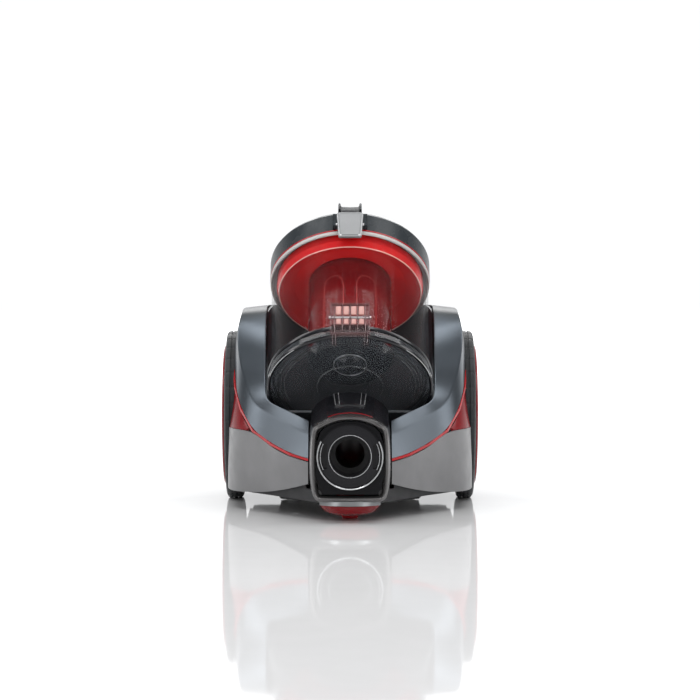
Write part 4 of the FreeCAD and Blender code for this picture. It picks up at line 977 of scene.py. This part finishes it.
def wheel_place(side):
    """Puts a ring that was turned about +Z on a rear axle, facing outwards."""
    turn = Matrix.Rotation(math.radians(side * 90), 4, "Y")
    return Matrix.Translation((side * 0.1205, 0.080, 0.095)) @ turn


def tyre_mesh():
    outline = [(84, 0.0), (90.2, 0.0), (92.2, 0.5), (94.1, 1.8), (95, 4), (95, 6.0), (94.1, 6.4),
               (94.1, 7.5), (95, 7.9), (95, 11.1), (94.1, 11.5), (94.1, 12.6), (95, 13.0), (95, 15.0),
               (94.1, 17.2), (92.2, 18.5), (90.2, 19.0), (84, 19.0), (84, 12), (84, 6)]
    shape = turned(outline, SLICES)
    for vert in shape.verts:
        radius = math.hypot(vert.co.x, vert.co.y)
        step = round(math.degrees(math.atan2(vert.co.y, vert.co.x)) / 360 * SLICES) % SLICES_TO_A_SIPE
        if radius > TREAD_FROM and step == 0:
            vert.co.x *= 1 - SIPE_DEPTH
            vert.co.y *= 1 - SIPE_DEPTH
    return shape


for side, which in ((-1, "left"), (1, "right")):
    tyre = add_piece("rear_tyre_" + which, tyre_mesh(), tyre_black, "wheel_" + which, ["tyre_" + which],
                     wheel_place(side), 28)
    print(tyre.name, len(tyre.data.polygons), "faces")

# %% [markdown]
# The wheel's trim ring is dark like the disc, with one thin red line let into its outer edge. Both are
# turned: the ring with rounded shoulders, the line a hair proud of it.

# %% Trim rings of the wheels
RING_OUTLINE = [(70.5, 12.2), (76.6, 12.2), (78.2, 14.2), (79.2, 17.0), (78.9, 19.2), (77.6, 21.4),
                (75.6, 22.3), (73.2, 22.4), (71.4, 21.4), (70.5, 19.6)]
LINE_OUTLINE = [(77.2, 20.9), (77.9, 20.5), (78.6, 20.0), (78.9, 20.2), (78.2, 21.3), (77.4, 21.9)]
for side, which in ((-1, "left"), (1, "right")):
    body, place = "wheel_" + which, wheel_place(side)
    ring = add_piece("wheel_trim_" + which, turned(RING_OUTLINE, 256), rim_grey, body,
                     ["hub_ring_" + which], place)
    line = add_piece("wheel_red_line_" + which, turned(LINE_OUTLINE, 256), deep_red, body, place=place)
    print(ring.name, len(ring.data.polygons) + len(line.data.polygons), "faces")

# %% [markdown]
# ## The foot pedals
# Two silver pedals sit in the back deck, one for power and one for winding in the cord. A foot needs a
# soft edge, so each pad is planked from rounded outlines with a hollow on top. A raised sign tells them
# apart: a ring with a bar for power, and an arrowed loop for the cord.


# %% The foot pedals
PEDAL_MIDDLE = 46
DECK = Matrix.Translation((0, 0.1415, 0.183)) @ Matrix.Rotation(math.radians(-47), 4, "X")


def pedal_layer(x, inset, height, corner=9.0, steps=8):
    """One outline of a pad, whose corners keep their centres as it shrinks."""
    ring = []
    for side, end, start in ((1, -1, -90), (1, 1, 0), (-1, 1, 90), (-1, -1, 180)):
        for k in range(steps + 1):
            angle = math.radians(start + 90 * k / steps)
            ring.append((x + side * (24 - corner) + (corner - inset) * math.cos(angle),
                         end * (12 - corner) + (corner - inset) * math.sin(angle), height))
    return ring


def pedal_sign(x, power):
    """A raised sign, 0.5 mm proud: a broken ring, then a bar or an arrow head."""
    outline = [(3.6, 2.9), (3.7, 3.9), (4.5, 3.9), (4.6, 2.9)]
    sign = turned(outline, 40, None, 120, 420) if power else turned(outline, 40, None, 200, 500)
    bmesh.ops.translate(sign, vec=(x / 1000, 0, 0), verts=sign.verts)
    if power:
        return rounded_box((x - 0.5, 1.4, 2.9), (x + 0.5, 5.6, 3.9), 0.3, sign, 2)
    tip = [(-3.1, 1.3), (-1.0, 2.9), (-3.9, 4.0)]
    return planked([[(x + px, py, h) for px, py in tip] for h in (2.9, 3.9)], sign)


for body, node in (("rewind_button", "rewind_pedal"), ("power_button", "power_pedal")):
    x = -PEDAL_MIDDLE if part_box(node)[0].x < 0 else PEDAL_MIDDLE
    pad_layers = ((0.8, -5), (0.05, -4.2), (0.05, 2.6), (0.4, 3.5), (1.2, 3.95), (2.4, 4.0), (3.8, 3.4),
                  (6.0, 2.95))
    pad_shape = planked([pedal_layer(x, i, h) for i, h in pad_layers])
    pad_piece = add_piece(node + "_pad", pad_shape, silver_paint, body, [node], DECK)
    sign_piece = add_piece(node + "_sign", pedal_sign(x, node == "power_pedal"), black_satin, body,
                           place=DECK)
    stem = turned([(0, -21), (3, -21), (3, -4.8), (0, -4.8)], 32)
    bmesh.ops.translate(stem, vec=(x / 1000, 0, 0), verts=stem.verts)
    stem_piece = add_piece(node + "_stem", stem, silver_paint, body, place=DECK)
    print(pad_piece.name, "at x", x)

# %% [markdown]
# ## The top of the lid
# The lid's flat top carries a moulded ring and short grip ribs round its edge, so a hand can twist it off
# to reach the filter. Each is a thin turned ring or a rounded bar, sunk a little into the lid. There are
# none before and behind, where the handle and the release button are.

# %% Rings and grip ribs on the lid
HANDLE_GAP = 20
lid_detail = bmesh.new()
for radius, width in ((58, 0.9), (61.5, 0.6)):
    turned([(radius - width, 168.6), (radius - width + 0.3, 169.5), (radius + width - 0.3, 169.5),
            (radius + width, 168.6)], 160, lid_detail)
for angle in range(0, 360, 6):
    if abs(angle - 90) < HANDLE_GAP or abs(angle - 270) < HANDLE_GAP:
        continue
    grip = rounded_box((69, -0.8, 168.4), (83, 0.8, 169.6), 0.5, None, 2)
    grip.transform(Matrix.Rotation(math.radians(angle), 4, "Z"))
    merged(lid_detail, grip)
lid_marks = add_piece("lid_grip_ribs", lid_detail, lid_slate, "bin", place=BIN_LEAN)
print("lid detail faces", len(lid_marks.data.polygons))

# %% [markdown]
# ## The floor
# A studio's paper sweep has no horizon. A flat floor gets the same look if it brightens towards the
# back and the sides until it matches the white room, so its shader adds a little light of its own there.
# Close to the machine only the lamps light it, which keeps the contact shadow.

# %% Floor
FLOOR_REACH = 6
GLOW_FROM, GLOW_FULL = 0.25, 1.9

floor_mesh = bpy.data.meshes.new("studio_floor")
floor_corners = [(x * FLOOR_REACH, y * FLOOR_REACH, 0) for x, y in ((-1, -1), (1, -1), (1, 1), (-1, 1))]
floor_mesh.from_pydata(floor_corners, [], [(0, 1, 2, 3)])
floor = bpy.data.objects.new("studio_floor", floor_mesh)
bpy.context.scene.collection.objects.link(floor)
paper = moulded("pale_floor", (0.80, 0.80, 0.805), 0.04, variety=0.01, rough_spread=0.01,
                grain_height=0.0000005)
paper_nodes, paper_links = paper.node_tree.nodes, paper.node_tree.links
paper_place = paper_nodes.new("ShaderNodeTexCoord")
paper_split = paper_nodes.new("ShaderNodeSeparateXYZ")
paper_links.new(paper_place.outputs["Object"], paper_split.inputs["Vector"])
paper_side = paper_nodes.new("ShaderNodeMath")
paper_side.operation = "ABSOLUTE"
paper_sum = paper_nodes.new("ShaderNodeMath")
paper_links.new(paper_split.outputs["X"], paper_side.inputs[0])
paper_links.new(paper_side.outputs["Value"], paper_sum.inputs[0])
paper_links.new(paper_split.outputs["Y"], paper_sum.inputs[1])
paper_glow = ramp(paper_nodes, paper_links, paper_sum.outputs["Value"], (GLOW_FROM, GLOW_FULL), (0, 1))
paper_links.new(paper_glow.outputs["Result"], paper_nodes["Principled BSDF"].inputs["Emission Strength"])
paper_nodes["Principled BSDF"].inputs["Emission Color"].default_value = (1, 1, 1, 1)
floor_mesh.materials.append(paper)
print("floor", 2 * FLOOR_REACH, "m wide")
